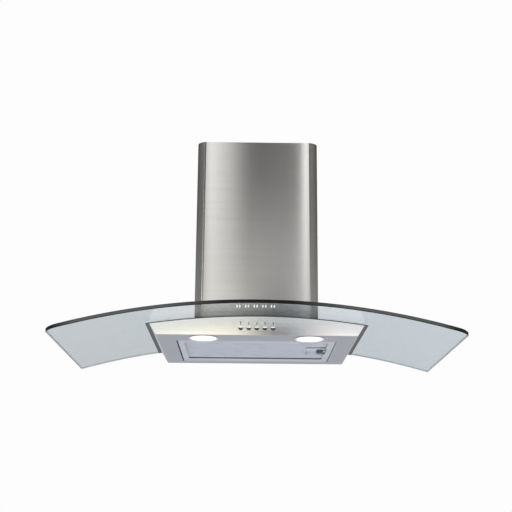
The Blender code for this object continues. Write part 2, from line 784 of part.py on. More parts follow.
def lamp(side_name, x, y):
    """One recessed lamp: bezel, lens, reflector can and bulb."""
    base = (x, y, UNDERSIDE_Z)
    gap = CLEARANCE
    bore = LAMP_LENS_RADIUS + gap
    bezel_profile = [
        (LAMP_BEZEL_RADIUS, -gap),
        (LAMP_BEZEL_RADIUS, -LAMP_BEZEL_HEIGHT * 0.5),
        (LAMP_BEZEL_RADIUS - LAMP_BEZEL_HEIGHT, -LAMP_BEZEL_HEIGHT),
        (bore + LAMP_BEZEL_HEIGHT * 0.5, -LAMP_BEZEL_HEIGHT),
        (bore, -LAMP_BEZEL_HEIGHT * 0.5),
        (bore, -gap),
    ]
    bezel = turned("bezel", bezel_profile, base, segments=28)
    piece(smooth(bezel), f"lamp_bezel_{side_name}", "brushed_steel")

    lens_top = LAMP_LENS_THICKNESS / 2
    lens_profile = [
        (0, lens_top),
        (LAMP_LENS_RADIUS - LAMP_CAN_WALL, lens_top),
        (LAMP_LENS_RADIUS - LAMP_CAN_WALL, -LAMP_LENS_THICKNESS / 2),
        (0, -LAMP_LENS_THICKNESS * 0.7),
    ]
    lens = turned("lens", lens_profile, base, segments=24, closed=False)
    piece(smooth(lens), f"lamp_lens_{side_name}", "lens")

    rim = LAMP_CAN_RADIUS - LAMP_CAN_WALL
    neck = BULB_RADIUS + 0.006
    roof = LAMP_CAN_HEIGHT
    can_profile = [
        (0, roof),
        (neck, roof),
        (LAMP_CAN_RADIUS, roof * 0.45),
        (LAMP_CAN_RADIUS, gap),
        (rim, gap),
        (rim, roof * 0.45 - LAMP_CAN_WALL),
        (neck - LAMP_CAN_WALL, roof - 2.5 * LAMP_CAN_WALL),
        (0, roof - 2.5 * LAMP_CAN_WALL),
    ]
    can = turned("can", can_profile, base, segments=24, closed=False)
    piece(smooth(can), f"lamp_can_{side_name}", "aluminium")

    bulb_top = roof - 2.5 * LAMP_CAN_WALL - gap
    bulb_foot = bulb_top - BULB_LENGTH
    bulb_profile = [
        (0, bulb_top),
        (BULB_RADIUS, bulb_top),
        (BULB_RADIUS, bulb_foot + BULB_RADIUS * 0.6),
        (BULB_RADIUS * 0.6, bulb_foot + BULB_RADIUS * 0.15),
        (0, bulb_foot),
    ]
    bulb = turned("bulb", bulb_profile, base, segments=12, closed=False)
    piece(smooth(bulb), f"lamp_bulb_{side_name}", "lens")


# ---- Grease filter ------------------------------------------------------------------------------


def pull_envelope(name, grow):
    """The finger pull's outer box, grown by a clearance."""
    half = PULL_LENGTH / 2
    return box(
        name,
        (PULL_LEFT_X - grow, PULL_CENTRE_Y - half - grow, UNDERSIDE_Z - grow),
        (PULL_RIGHT_X + grow, PULL_CENTRE_Y + half + grow, UNDERSIDE_Z + FILTER_HEIGHT + grow),
    )


def tongue_slot(name):
    """The slot that the latch tongue slides in, through the pull's wall and the frame."""
    half = TONGUE_WIDTH / 2 + TONGUE_SLIDING_GAP
    low_z = UNDERSIDE_Z + TONGUE_HEIGHT - TONGUE_SLIDING_GAP
    high_z = UNDERSIDE_Z + TONGUE_HEIGHT + TONGUE_THICKNESS + TONGUE_SLIDING_GAP
    return box(
        name,
        (PULL_RIGHT_X - 2 * PULL_WALL, LATCH_CENTRE_Y - half, low_z),
        (OPENING_HALF_WIDTH + 0.01, LATCH_CENTRE_Y + half, high_z),
    )


def filter_frame():
    low_z, high_z = UNDERSIDE_Z, UNDERSIDE_Z + FILTER_HEIGHT
    pocket_half = FIELD_HALF_WIDTH + POCKET_MARGIN
    pocket_front, pocket_rear = FIELD_FRONT_Y - POCKET_MARGIN, FIELD_REAR_Y + POCKET_MARGIN
    frame = box(
        "filter_frame",
        (-FILTER_HALF_WIDTH, FILTER_FRONT_Y, low_z),
        (FILTER_HALF_WIDTH, FILTER_REAR_Y, high_z),
    )
    middle_y = (FILTER_FRONT_Y + FILTER_REAR_Y) / 2
    tab_z = UNDERSIDE_Z + SHEET + CLEARANCE
    for index, side in enumerate((-1, 1), 1):
        tab_y = middle_y + side * TAB_SPACING / 2
        tab = box(
            f"tab_{index}",
            (-OPENING_HALF_WIDTH - TAB_LENGTH, tab_y - TAB_WIDTH / 2, tab_z),
            (-FILTER_HALF_WIDTH + 0.002, tab_y + TAB_WIDTH / 2, tab_z + 0.0015),
        )
        join(frame, tab)
    cut(
        frame,
        box(
            "mesh_window",
            (-FIELD_HALF_WIDTH, FIELD_FRONT_Y, low_z - 0.001),
            (FIELD_HALF_WIDTH, FIELD_REAR_Y, high_z + 0.001),
        ),
        box(
            "mesh_pocket",
            (-pocket_half, pocket_front, low_z + FILTER_LIP),
            (pocket_half, pocket_rear, high_z + 0.001),
        ),
        pull_envelope("pull_space", CLEARANCE),
        tongue_slot("frame_slot"),
    )
    return piece(frame, "filter_frame", "aluminium")


def filter_mesh():
    """The grease mesh pad, held in the frame's pocket and notched round the pull."""
    half = FIELD_HALF_WIDTH + POCKET_MARGIN - CLEARANCE
    low_z = UNDERSIDE_Z + FILTER_LIP + CLEARANCE
    pad = box(
        "filter_mesh",
        (-half, FIELD_FRONT_Y - POCKET_MARGIN + CLEARANCE, low_z),
        (half, FIELD_REAR_Y + POCKET_MARGIN - CLEARANCE, low_z + MESH_THICKNESS),
    )
    notch = pull_envelope("pad_notch", CLEARANCE)
    slot = box(
        "pad_slot",
        (PULL_LEFT_X - CLEARANCE, PULL_CENTRE_Y - PULL_LENGTH / 2 - PULL_FRONT_GAP, UNDERSIDE_Z - 0.001),
        (PULL_RIGHT_X + 0.002, PULL_CENTRE_Y, UNDERSIDE_Z + FILTER_HEIGHT + 0.001),
    )
    cut(pad, notch, slot)
    return piece(pad, "filter_mesh", "aluminium")


def filter_pull():
    """The finger recess, open downwards."""
    pull = pull_envelope("filter_pull", 0)
    half = PULL_LENGTH / 2 - PULL_WALL
    recess = box(
        "pull_recess",
        (PULL_LEFT_X + PULL_WALL, PULL_CENTRE_Y - half, UNDERSIDE_Z - 0.001),
        (PULL_RIGHT_X - PULL_WALL, PULL_CENTRE_Y + half, UNDERSIDE_Z + FILTER_HEIGHT - PULL_WALL),
    )
    cut(pull, recess, tongue_slot("pull_slot"))
    return piece(pull, "filter_pull", "aluminium")


def filter_latch():
    """The sliding latch: a pad for the finger and a tongue through the frame."""
    pad_right = PULL_RIGHT_X - PULL_WALL - LATCH_PAD_GAP
    low_z = UNDERSIDE_Z + 0.0012
    high_z = UNDERSIDE_Z + FILTER_HEIGHT - PULL_WALL - CLEARANCE
    latch = box(
        "filter_latch",
        (pad_right - LATCH_PAD_WIDTH, LATCH_CENTRE_Y - LATCH_PAD_LENGTH / 2, low_z),
        (pad_right, LATCH_CENTRE_Y + LATCH_PAD_LENGTH / 2, high_z),
    )
    tongue_z = UNDERSIDE_Z + TONGUE_HEIGHT
    tongue = box(
        "tongue",
        (pad_right - 0.003, LATCH_CENTRE_Y - TONGUE_WIDTH / 2, tongue_z),
        (
            OPENING_HALF_WIDTH - TONGUE_SETBACK,
            LATCH_CENTRE_Y + TONGUE_WIDTH / 2,
            tongue_z + TONGUE_THICKNESS,
        ),
    )
    return piece(join(latch, tongue), "filter_latch", "black_plastic")


# ---- Chimney ------------------------------------------------------------------------------------


def cover_path(inset, rear_y):
    """The covers' outer face in plan, from one rear flange round the front to the other."""
    half = CHIMNEY_WIDTH / 2 - inset
    front = -CHIMNEY_DEPTH + inset
    corner = CHIMNEY_CORNER - inset
    bend = COVER_BEND
    return (
        [(half - COVER_FLANGE, rear_y)]
        + fillet(half - bend, rear_y - bend, bend, 90, 0, 2)
        + fillet(half - corner, front + corner, corner, 0, -90, 8)
        + fillet(-half + corner, front + corner, corner, -90, -180, 8)
        + fillet(-half + bend, rear_y - bend, bend, 180, 90, 2)
        + [(-half + COVER_FLANGE, rear_y)]
    )


def chimney_lower():
    path = cover_path(0, -WALL_GAP)
    cover = folded_sheet("chimney_lower", path, UNDERSIDE_Z, CHIMNEY_TOP_Z, COVER_SHEET)
    half = CHIMNEY_WIDTH / 2 + 0.01
    below = arc(GLASS_TOP_RADIUS + CLEARANCE, half, -half, 12)
    below += [(-half, UNDERSIDE_Z - 0.01), (half, UNDERSIDE_Z - 0.01)]
    cut(cover, plate("below_glass", [below], -CHIMNEY_DEPTH - 0.01, 0.01, "XZ"))
    return smooth(piece(cover, "chimney_lower", "brushed_steel"))


UPPER_INSET = COVER_SHEET + COVER_NEST_GAP
UPPER_REAR_Y = -WALL_GAP - UPPER_INSET
UPPER_TOP_Z = CHIMNEY_TOP_Z - UPPER_SETBACK


def chimney_upper():
    """The telescoping cover, nested in the lower one, with vents near its top."""
    path = cover_path(UPPER_INSET, UPPER_REAR_Y)
    cover = folded_sheet("chimney_upper", path, UNDERSIDE_Z + UPPER_BOTTOM, UPPER_TOP_Z, COVER_SHEET)
    half = CHIMNEY_WIDTH / 2 - UPPER_INSET
    middle_y = -CHIMNEY_DEPTH / 2
    for row in range(VENT_COUNT):
        top_z = UPPER_TOP_Z - VENT_TOP_MARGIN - row * VENT_PITCH
        slot = box(
            f"vent_{row}",
            (-half - 0.005, middle_y - VENT_LENGTH / 2, top_z - VENT_HEIGHT),
            (half + 0.005, middle_y + VENT_LENGTH / 2, top_z),
        )
        cut(cover, slot)
    return smooth(piece(cover, "chimney_upper", "brushed_steel"))


def cover_bracket():
    """The bracket across the top of the upper cover, against the wall."""
    inset = UPPER_INSET + COVER_SHEET + CLEARANCE
    half = CHIMNEY_WIDTH / 2 - inset
    rear_y = UPPER_REAR_Y - COVER_SHEET - CLEARANCE
    bend = COVER_BEND
    path = (
        [(half, rear_y - BRACKET_LEG)]
        + fillet(half - bend, rear_y - bend, bend, 0, 90, 2)
        + fillet(-half + bend, rear_y - bend, bend, 90, 180, 2)
        + [(-half, rear_y - BRACKET_LEG)]
    )
    path.reverse()
    top_z = UPPER_TOP_Z - BRACKET_TOP_MARGIN
    bracket = folded_sheet("bracket", path, top_z - BRACKET_HEIGHT, top_z, BRACKET_SHEET)
    return piece(bracket, "cover_bracket", "galvanised")


# ---- Wall plate and fan box ---------------------------------------------------------------------


def wall_plate():
    """The channel on the wall that carries the fan box; its rear face is on the wall."""
    half = WALL_PLATE_WIDTH / 2
    path = [(-half, -WALL_PLATE_STANDOFF), (-half, 0), (half, 0), (half, -WALL_PLATE_STANDOFF)]
    channel = folded_sheet("channel", path, WALL_PLATE_BOTTOM, WALL_PLATE_TOP, WALL_PLATE_SHEET)
    centres = [(side * WALL_BOLT_SPACING / 2, 0, WALL_BOLT_Z) for side in (-1, 1)]
    cut(channel, cylinders("wall_bolts", centres, WALL_BOLT_RADIUS, 0.02, "Y", 16))
    return piece(channel, "wall_plate", "galvanised")


def fan_box():
    """The open-bottomed sheet box round the blower, with a top opening for its outlet."""
    half = FAN_BOX_WIDTH / 2
    shell = box("fan_box", (-half, FAN_BOX_FRONT_Y, FAN_BOX_BOTTOM_Z), (half, FAN_BOX_REAR_Y, FAN_BOX_TOP_Z))
    inner = half - FAN_BOX_SHEET
    hollow = box(
        "fan_box_hollow",
        (-inner, FAN_BOX_FRONT_Y + FAN_BOX_SHEET, FAN_BOX_BOTTOM_Z - 0.01),
        (inner, FAN_BOX_REAR_Y - FAN_BOX_SHEET, FAN_BOX_TOP_Z - FAN_BOX_SHEET),
    )
    front_y, rear_y = outlet_span()
    outlet_half = SCROLL_WIDTH / 2 - SCROLL_WALL
    outlet = box(
        "fan_box_outlet",
        (-outlet_half, front_y + SCROLL_WALL, FAN_BOX_TOP_Z - 0.01),
        (outlet_half, rear_y - SCROLL_WALL, FAN_BOX_TOP_Z + 0.01),
    )
    gland = [(-half, TERMINAL_BOX_Y, gland_height())]
    cut(shell, hollow, outlet, cylinders("gland_hole", gland, GLAND_BORE + 0.003, 0.02, "X", 16))
    return piece(shell, "fan_box", "galvanised")


def gland_height():
    return UNDERSIDE_Z + TERMINAL_BOX_HEIGHT + TERMINAL_BOX_SIZE.z + 0.014


def mains_gland():
    """The gland on the fan box's side where the mains lead enters."""
    neck = GLAND_BORE + 0.003 - CLEARANCE
    profile = [
        (GLAND_BORE, GLAND_LENGTH),
        (GLAND_BORE, -0.004),
        (neck, -0.004),
        (neck, CLEARANCE),
        (GLAND_RADIUS, CLEARANCE),
        (GLAND_RADIUS, GLAND_LENGTH * 0.6),
        (GLAND_RADIUS - 0.0015, GLAND_LENGTH),
    ]
    profile.reverse()
    centre = (-FAN_BOX_WIDTH / 2, TERMINAL_BOX_Y, gland_height())
    gland = turned("gland", profile, centre, segments=16)
    gland.matrix_world = Matrix.Translation(centre) @ Matrix.Rotation(-pi / 2, 4, "Y")
    return piece(gland, "mains_gland", "black_plastic")


# ---- Blower -------------------------------------------------------------------------------------


def outlet_span():
    """Front and rear of the scroll's outlet, along Y."""
    front_y = FAN_AXIS_Y + SCROLL_MIN_RADIUS * cos(radians(SCROLL_CUTOFF_DEG))
    return front_y, FAN_AXIS_Y + SCROLL_MAX_RADIUS


def scroll_outline(inset, top_z, steps=24):
    """The scroll in (y, z): it grows from the cutoff round the front and down to the rear, then up."""
    points = []
    for i in range(steps + 1):
        share = i / steps
        angle = radians(SCROLL_CUTOFF_DEG + (360 - SCROLL_CUTOFF_DEG) * share)
        radius = SCROLL_MIN_RADIUS + (SCROLL_MAX_RADIUS - SCROLL_MIN_RADIUS) * share - inset
        points.append((FAN_AXIS_Y + radius * cos(angle), FAN_AXIS.z + radius * sin(angle)))
    front_y, rear_y = outlet_span()
    return points + [(rear_y - inset, top_z), (front_y + inset, top_z)]


def scroll_housing():
    top_z = FAN_BOX_TOP_Z - FAN_BOX_SHEET - CLEARANCE
    half = SCROLL_WIDTH / 2
    housing = plate("scroll", [scroll_outline(0, top_z)], -half, half, "YZ")
    inner_half = half - SCROLL_WALL
    hollow = plate(
        "scroll_hollow", [scroll_outline(SCROLL_WALL, top_z + 0.02)], -inner_half, inner_half, "YZ"
    )
    inlets = cylinders("inlets", [FAN_AXIS], INLET_RADIUS, SCROLL_WIDTH + 0.02, "X", 32)
    cut(housing, hollow, inlets)
    return smooth(piece(housing, "scroll_housing", "black_plastic"))


def impeller():
    """A double-inlet squirrel cage: hub, web, blades and end rings in one moulding."""
    half = IMPELLER_WIDTH / 2
    web = IMPELLER_WEB / 2
    bore = SHAFT_RADIUS + CLEARANCE
    profile = [
        (bore, web),
        (IMPELLER_INNER_RADIUS, web),
        (IMPELLER_INNER_RADIUS, half),
        (IMPELLER_RADIUS, half),
        (IMPELLER_RADIUS, -half),
        (IMPELLER_INNER_RADIUS, -half),
        (IMPELLER_INNER_RADIUS, -web),
        (HUB_RADIUS, -web),
        (HUB_RADIUS, -HUB_LENGTH),
        (bore, -HUB_LENGTH),
    ]
    wheel = turned("wheel", profile, FAN_AXIS, axis="X", segments=2 * BLADE_COUNT)
    pitch = 2 * pi / BLADE_COUNT
    slot_width = 2 * IMPELLER_INNER_RADIUS * sin(pitch / 2) - BLADE_THICKNESS
    slot_low, slot_high = web + IMPELLER_RING / 2, half - IMPELLER_RING

    def slots(bm):
        length = slot_high - slot_low
        mid_radius = (IMPELLER_RADIUS + IMPELLER_INNER_RADIUS) / 2
        depth = IMPELLER_RADIUS - IMPELLER_INNER_RADIUS + 0.008
        for side in (-1, 1):
            for i in range(BLADE_COUNT):
                turn = Matrix.Rotation(pitch * (i + 0.5), 4, "X")
                offset = Matrix.Translation((side * (slot_low + slot_high) / 2, mid_radius, 0))
                scale = Matrix.Diagonal((length, depth, slot_width, 1))
                place = Matrix.Translation(FAN_AXIS) @ turn @ offset @ scale
                bmesh.ops.create_cube(bm, size=1, matrix=place)

    cut(wheel, mesh_object("blade_slots", slots))
    return piece(wheel, "impeller", "black_plastic")


def motor_span():
    """Start and end of the motor along X."""
    start = IMPELLER_WEB / 2 + MOTOR_GAP
    return start, start + MOTOR_LENGTH


def motor_case():
    """The motor's can, with a bearing pocket at each end."""
    start, end = motor_span()
    pocket = BEARING_RADIUS + BEARING_GAP
    bore = SHAFT_RADIUS + 0.0015
    depth = BEARING_WIDTH + CLEARANCE
    profile = [
        (pocket, start),
        (MOTOR_RADIUS - 0.012, start),
        (MOTOR_RADIUS, start + 0.010),
        (MOTOR_RADIUS, end - 0.006),
        (MOTOR_RADIUS - 0.004, end),
        (pocket, end),
        (pocket, end - depth),
        (bore, end - depth),
        (bore, start + depth),
        (pocket, start + depth),
    ]
    profile.reverse()
    centre = Vector((0, FAN_AXIS.y, FAN_AXIS.z))
    case = turned("motor", profile, centre, axis="X", segments=24)
    return smooth(piece(case, "motor_case", "galvanised"))


def bearings():
    start, end = motor_span()
    inner = SHAFT_RADIUS + BEARING_GAP
    for name, low in (("front", start), ("rear", end - BEARING_WIDTH)):
        high = low + BEARING_WIDTH
        profile = [(inner, high), (inner, low), (BEARING_RADIUS, low), (BEARING_RADIUS, high)]
        profile.reverse()
        bearing = turned("bearing", profile, FAN_AXIS, axis="X", segments=20)
        piece(smooth(bearing), f"motor_bearing_{name}", "galvanised")


def motor_shaft():
    start = -HUB_LENGTH - SHAFT_OVERHANG
    end = motor_span()[1] + CLEARANCE
    centre = FAN_AXIS + Vector(((start + end) / 2, 0, 0))
    shaft = cylinders("shaft", [centre], SHAFT_RADIUS, end - start, "X", 16)
    return piece(smooth(shaft), "motor_shaft", "galvanised")


def motor_bar():
    """The bar across the scroll's inlet that carries the motor."""
    low = max(SCROLL_WIDTH / 2, motor_span()[1]) + 2 * CLEARANCE
    half_length, half_width = MOTOR_BAR_LENGTH / 2, MOTOR_BAR_WIDTH / 2
    y, z = FAN_AXIS.y, FAN_AXIS.z
    outline = rounded_rectangle(
        y - half_width, z - half_length, y + half_width, z + half_length, 0.006
    )
    bar = plate("bar", [outline], low, low + MOTOR_BAR_THICKNESS, "YZ")
    return piece(bar, "motor_bar", "galvanised")


def capacitor():
    """The motor's run capacitor, standing by the fan box's right wall."""
    x = FAN_BOX_WIDTH / 2 - FAN_BOX_SHEET - CAPACITOR_RADIUS - CLEARANCE
    low = UNDERSIDE_Z + TERMINAL_BOX_HEIGHT
    profile = [
        (0, low + CAPACITOR_LENGTH),
        (CAPACITOR_RADIUS - 0.002, low + CAPACITOR_LENGTH),
        (CAPACITOR_RADIUS, low + CAPACITOR_LENGTH - 0.002),
        (CAPACITOR_RADIUS, low),
        (0, low),
    ]
    y = FAN_BOX_REAR_Y - FAN_BOX_SHEET - CAPACITOR_RADIUS - 0.012
    can = turned("capacitor", profile, (x, y, 0), segments=16, closed=False)
    return piece(smooth(can), "capacitor", "white_plastic")


# ---- Outlet collar and damper -------------------------------------------------------------------


def outlet_collar():
    """The round duct collar on its square foot, with the ledge that the damper leaves close on."""
    centre = (0, COLLAR_CENTRE_Y, 0)
    inner = COLLAR_RADIUS - COLLAR_WALL
    seat = inner - DAMPER_SEAT_WIDTH
    base = COLLAR_BASE_Z
    profile = [
        (inner, base + COLLAR_HEIGHT),
        (inner, DAMPER_SEAT_Z),
        (seat, DAMPER_SEAT_Z),
        (seat, DAMPER_SEAT_Z - DAMPER_SEAT_THICKNESS),
        (inner, DAMPER_SEAT_Z - DAMPER_SEAT_THICKNESS),
        (inner, base),
        (COLLAR_RADIUS, base),
        (COLLAR_RADIUS, base + COLLAR_HEIGHT),
    ]
    profile.reverse()
    collar = turned("collar", profile, centre, segments=32)
    half = COLLAR_RADIUS + COLLAR_FLANGE
    rear = min(COLLAR_CENTRE_Y + half, FAN_BOX_REAR_Y - FAN_BOX_SHEET)
    foot = plate(
        "collar_foot",
        [
            rounded_rectangle(-half, COLLAR_CENTRE_Y - half, half, rear, 0.008),
            circle(0, COLLAR_CENTRE_Y, inner + 0.0005, 32),
        ],
        base,
        base + COLLAR_FLANGE_THICKNESS,
    )
    rod = [(0, COLLAR_CENTRE_Y, DAMPER_AXIS_Z)]
    hole = DAMPER_ROD_RADIUS + DAMPER_RUNNING_GAP
    join(collar, foot)
    cut(collar, cylinders("rod_holes", rod, hole, 2 * COLLAR_RADIUS + 0.01, "Y", 12))
    return smooth(piece(collar, "outlet_collar", "black_plastic"))


def damper_rod():
    rod = cylinders(
        "rod", [(0, COLLAR_CENTRE_Y, DAMPER_AXIS_Z)], DAMPER_ROD_RADIUS, 2 * COLLAR_RADIUS, "Y", 12
    )
    return piece(smooth(rod), "damper_rod", "galvanised")


def damper_leaf(name, side):
    """A half-round leaf with two knuckles on the rod; side is -1 for the left leaf, 1 for the right."""
    radius = COLLAR_RADIUS - COLLAR_WALL - DAMPER_EDGE_GAP
    inner_edge = DAMPER_KNUCKLE_RADIUS + 0.0004
    reach = atan2(inner_edge, sqrt(radius**2 - inner_edge**2))
    angles = [reach + (pi - 2 * reach) * i / 16 for i in range(17)]
    outline = [(side * radius * sin(a), COLLAR_CENTRE_Y + radius * cos(a)) for a in angles]
    low = DAMPER_SEAT_Z + CLEARANCE
    leaf = plate(name, [outline], low, low + DAMPER_SHEET)
    offsets = (DAMPER_KNUCKLE_OFFSETS[0], -DAMPER_KNUCKLE_OFFSETS[1])
    ys = [COLLAR_CENTRE_Y + side * offset for offset in offsets]
    centres = [(0, y, DAMPER_AXIS_Z) for y in ys]
    half = DAMPER_KNUCKLE_LENGTH / 2
    for index, y in enumerate(ys, 1):
        near, far = sorted((0, side * (inner_edge + 0.003)))
        arm = box(
            f"{name}_arm_{index}", (near, y - half, low), (far, y + half, low + DAMPER_SHEET)
        )
        join(leaf, arm)
    knuckles = cylinders(
        f"{name}_knuckles", centres, DAMPER_KNUCKLE_RADIUS, DAMPER_KNUCKLE_LENGTH, "Y", 12
    )
    bores = cylinders(
        f"{name}_bores",
        centres,
        DAMPER_ROD_RADIUS + DAMPER_RUNNING_GAP,
        DAMPER_KNUCKLE_LENGTH + 0.004,
        "Y",
        12,
    )
    join(leaf, knuckles)
    cut(leaf, bores)
    return piece(leaf, name, "aluminium")


# ---- Electrics ----------------------------------------------------------------------------------


def terminal_box_corner():
    """The terminal box's low corner, against the fan box's left wall."""
    x = -FAN_BOX_WIDTH / 2 + FAN_BOX_SHEET + CLEARANCE
    return Vector(
        (x, TERMINAL_BOX_Y - TERMINAL_BOX_SIZE.y / 2, UNDERSIDE_Z + TERMINAL_BOX_HEIGHT)
    )


def terminal_box():
    low = terminal_box_corner()
    high = low + TERMINAL_BOX_SIZE - Vector((TERMINAL_BOX_WALL + CLEARANCE, 0, 0))
    wall = Vector((TERMINAL_BOX_WALL,) * 3)
    shell = box("terminal_box", low, high)
    hollow = box("terminal_hollow", low + wall, high + Vector((0.01, -wall.y, -wall.z)))
    cable_entry = [(low.x + TERMINAL_BOX_SIZE.x / 2, TERMINAL_BOX_Y, low.z)]
    entry = cylinders("cable_entry", cable_entry, CABLE_RADIUS + 0.001, 0.01, "Z", 12)
    cut(shell, hollow, entry)
    return piece(shell, "terminal_box", "white_plastic")


def terminal_lid():
    low = terminal_box_corner()
    high = low + TERMINAL_BOX_SIZE
    lid = box("lid", (high.x - TERMINAL_BOX_WALL, low.y, low.z), high)
    return piece(lid, "terminal_lid", "white_plastic")


def terminal_block():
    low = terminal_box_corner()
    foot = low + Vector((TERMINAL_BOX_WALL + CLEARANCE, 0, 0))
    foot.y += (TERMINAL_BOX_SIZE.y - TERMINAL_BLOCK_SIZE.y) / 2
    foot.z += (TERMINAL_BOX_SIZE.z - TERMINAL_BLOCK_SIZE.z) / 2
    block = box("block", foot, foot + TERMINAL_BLOCK_SIZE)
    ports = [
        (
            foot.x + TERMINAL_BLOCK_SIZE.x / 2,
            foot.y + TERMINAL_BLOCK_SIZE.y * (i + 0.5) / 4,
            foot.z + TERMINAL_BLOCK_SIZE.z,
        )
        for i in range(4)
    ]
    cut(block, cylinders("ports", ports, 0.0025, TERMINAL_BLOCK_SIZE.z, "Z", 8))
    return piece(block, "terminal_block", "brass")


def driver_corner():
    """The lamp driver's low corner, on the tray's floor left of the filter opening."""
    x = (-BODY_BOTTOM_WIDTH / 2 - OPENING_HALF_WIDTH - TAB_LENGTH) / 2 - DRIVER_SIZE.x / 2
    return Vector((x, DRIVER_Y - DRIVER_SIZE.y / 2, UNDERSIDE_Z + SHEET + CLEARANCE))


def lamp_driver():
    low = driver_corner()
    driver = box("driver", low, low + DRIVER_SIZE)
    return piece(bevel(driver, 0.002), "lamp_driver", "black_plastic")


def smooth_route(points, steps):
    """A Catmull-Rom curve through the points, sampled steps times between each two."""
    ends = [points[0] * 2 - points[1]] + points + [points[-1] * 2 - points[-2]]
    route = []
    for p0, p1, p2, p3 in zip(ends, ends[1:], ends[2:], ends[3:]):
        for i in range(steps):
            t = i / steps
            route.append(
                0.5
                * (
                    2 * p1
                    + (p2 - p0) * t
                    + (2 * p0 - 5 * p1 + 4 * p2 - p3) * t**2
                    + (3 * p1 - p0 - 3 * p2 + p3) * t**3
                )
            )
    return route + [points[-1]]


def control_cable():
    """From the switch bank, up through the air passage, to the terminal box."""
    entry = terminal_box_corner() + Vector((TERMINAL_BOX_SIZE.x / 2, TERMINAL_BOX_SIZE.y / 2, 0))
    bank_rear = SWITCH_FRONT_Y + SWITCH_BANK_DEPTH
    passage_y = (PASSAGE_FRONT_Y + PASSAGE_REAR_Y) / 2
    route = [
        Vector((-SWITCH_HALF_WIDTH / 2, bank_rear + CABLE_END_GAP, BUTTON_Z)),
        Vector((-SWITCH_HALF_WIDTH / 2, bank_rear + 0.014, BUTTON_Z)),
        Vector((entry.x + 0.012, bank_rear + 0.040, BUTTON_Z)),
        Vector((entry.x, passage_y - 0.060, UNDERSIDE_Z + 0.032)),
        Vector((entry.x, passage_y - 0.012, UNDERSIDE_Z + CLAMP_TOP)),
        Vector((entry.x, entry.y, entry.z - 0.060)),
        entry - Vector((0, 0, CABLE_END_GAP)),
    ]
    return piece(wire("cable", smooth_route(route, 4), CABLE_RADIUS), "control_cable", "black_plastic")


def lamp_cable(side_name, lamp_x, lamp_y):
    """From the driver's front end to a lamp can's crown."""
    low = driver_corner()
    start = low + Vector((DRIVER_SIZE.x / 2, -CABLE_END_GAP, DRIVER_SIZE.z / 2))
    lane = 0.004 if lamp_x > 0 else -0.004
    start.x += lane
    top_z = UNDERSIDE_Z + LAMP_CAN_HEIGHT
    height = top_z + CABLE_RADIUS + 0.0006
    route = [
        start,
        start + Vector((0, -0.012, 0)),
        Vector((start.x + 0.004, lamp_y + 0.050 + lane, UNDERSIDE_Z + 0.018)),
        Vector((-abs(lamp_x) - 0.020, lamp_y + 0.034 + lane, height - 0.002)),
    ]
    if lamp_x > 0:
        route += [Vector((x, lamp_y + 0.036, height)) for x in (-0.060, 0.060)]
        route.append(Vector((lamp_x - 0.018, lamp_y + 0.026, height)))
    route.append(Vector((lamp_x, lamp_y, height)))
    cable = wire("cable", smooth_route(route, 4), CABLE_RADIUS, 1)
    return piece(cable, f"lamp_cable_{side_name}", "white_plastic")


# ---- Assembly -----------------------------------------------------------------------------------


def build_canopy():
    glass_canopy()
    glass_gasket()
    passage_seal()
    clamp_frame()
    clamp_bolts()


def build_body():
    body_tray()
    top_plate()
    front_fascia()
    switch_bank()
    push_buttons()
    button_springs()
    for side_name, (x, y) in zip(("left", "right"), lamp_places()):
        lamp(side_name, x, y)


def build_filter():
    carried = [filter_frame(), filter_mesh(), filter_pull(), filter_latch()]
    on_pivot("filter_hinge", (-FILTER_HALF_WIDTH, PULL_CENTRE_Y, UNDERSIDE_Z), carried)


def build_chimney():
    chimney_lower()
    on_pivot("cover_slide", (0, 0, UPPER_TOP_Z), [chimney_upper(), cover_bracket()])


def build_blower():
    wall_plate()
    fan_box()
    scroll_housing()
    motor_case()
    bearings()
    motor_bar()
    capacitor()
    on_pivot("fan_spin", FAN_AXIS, [impeller(), motor_shaft()])


def build_outlet():
    outlet_collar()
    damper_rod()
    leaves = [damper_leaf("damper_leaf_left", -1), damper_leaf("damper_leaf_right", 1)]
    on_pivot("damper_hinge", (0, COLLAR_CENTRE_Y, DAMPER_AXIS_Z), leaves)


def build_electrics():
    mains_gland()
    terminal_box()
    terminal_lid()
    terminal_block()
    lamp_driver()
    control_cable()
    for side_name, (x, y) in zip(("left", "right"), lamp_places()):
        lamp_cable(side_name, x, y)


build_canopy()
build_body()
build_filter()
build_chimney()
build_blower()
build_outlet()
build_electrics()
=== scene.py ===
"""Looks of the wall-mounted chimney hood: camera, light, floor, finishes and detailed pieces.

Metres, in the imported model's frame: X along the wall, Y into the wall, +Z up.
"""

import json
from math import atan2, cos, pi, radians, sin, sqrt

import bmesh
import bpy
from mathutils import Matrix, Vector
from mathutils.geometry import tessellate_polygon


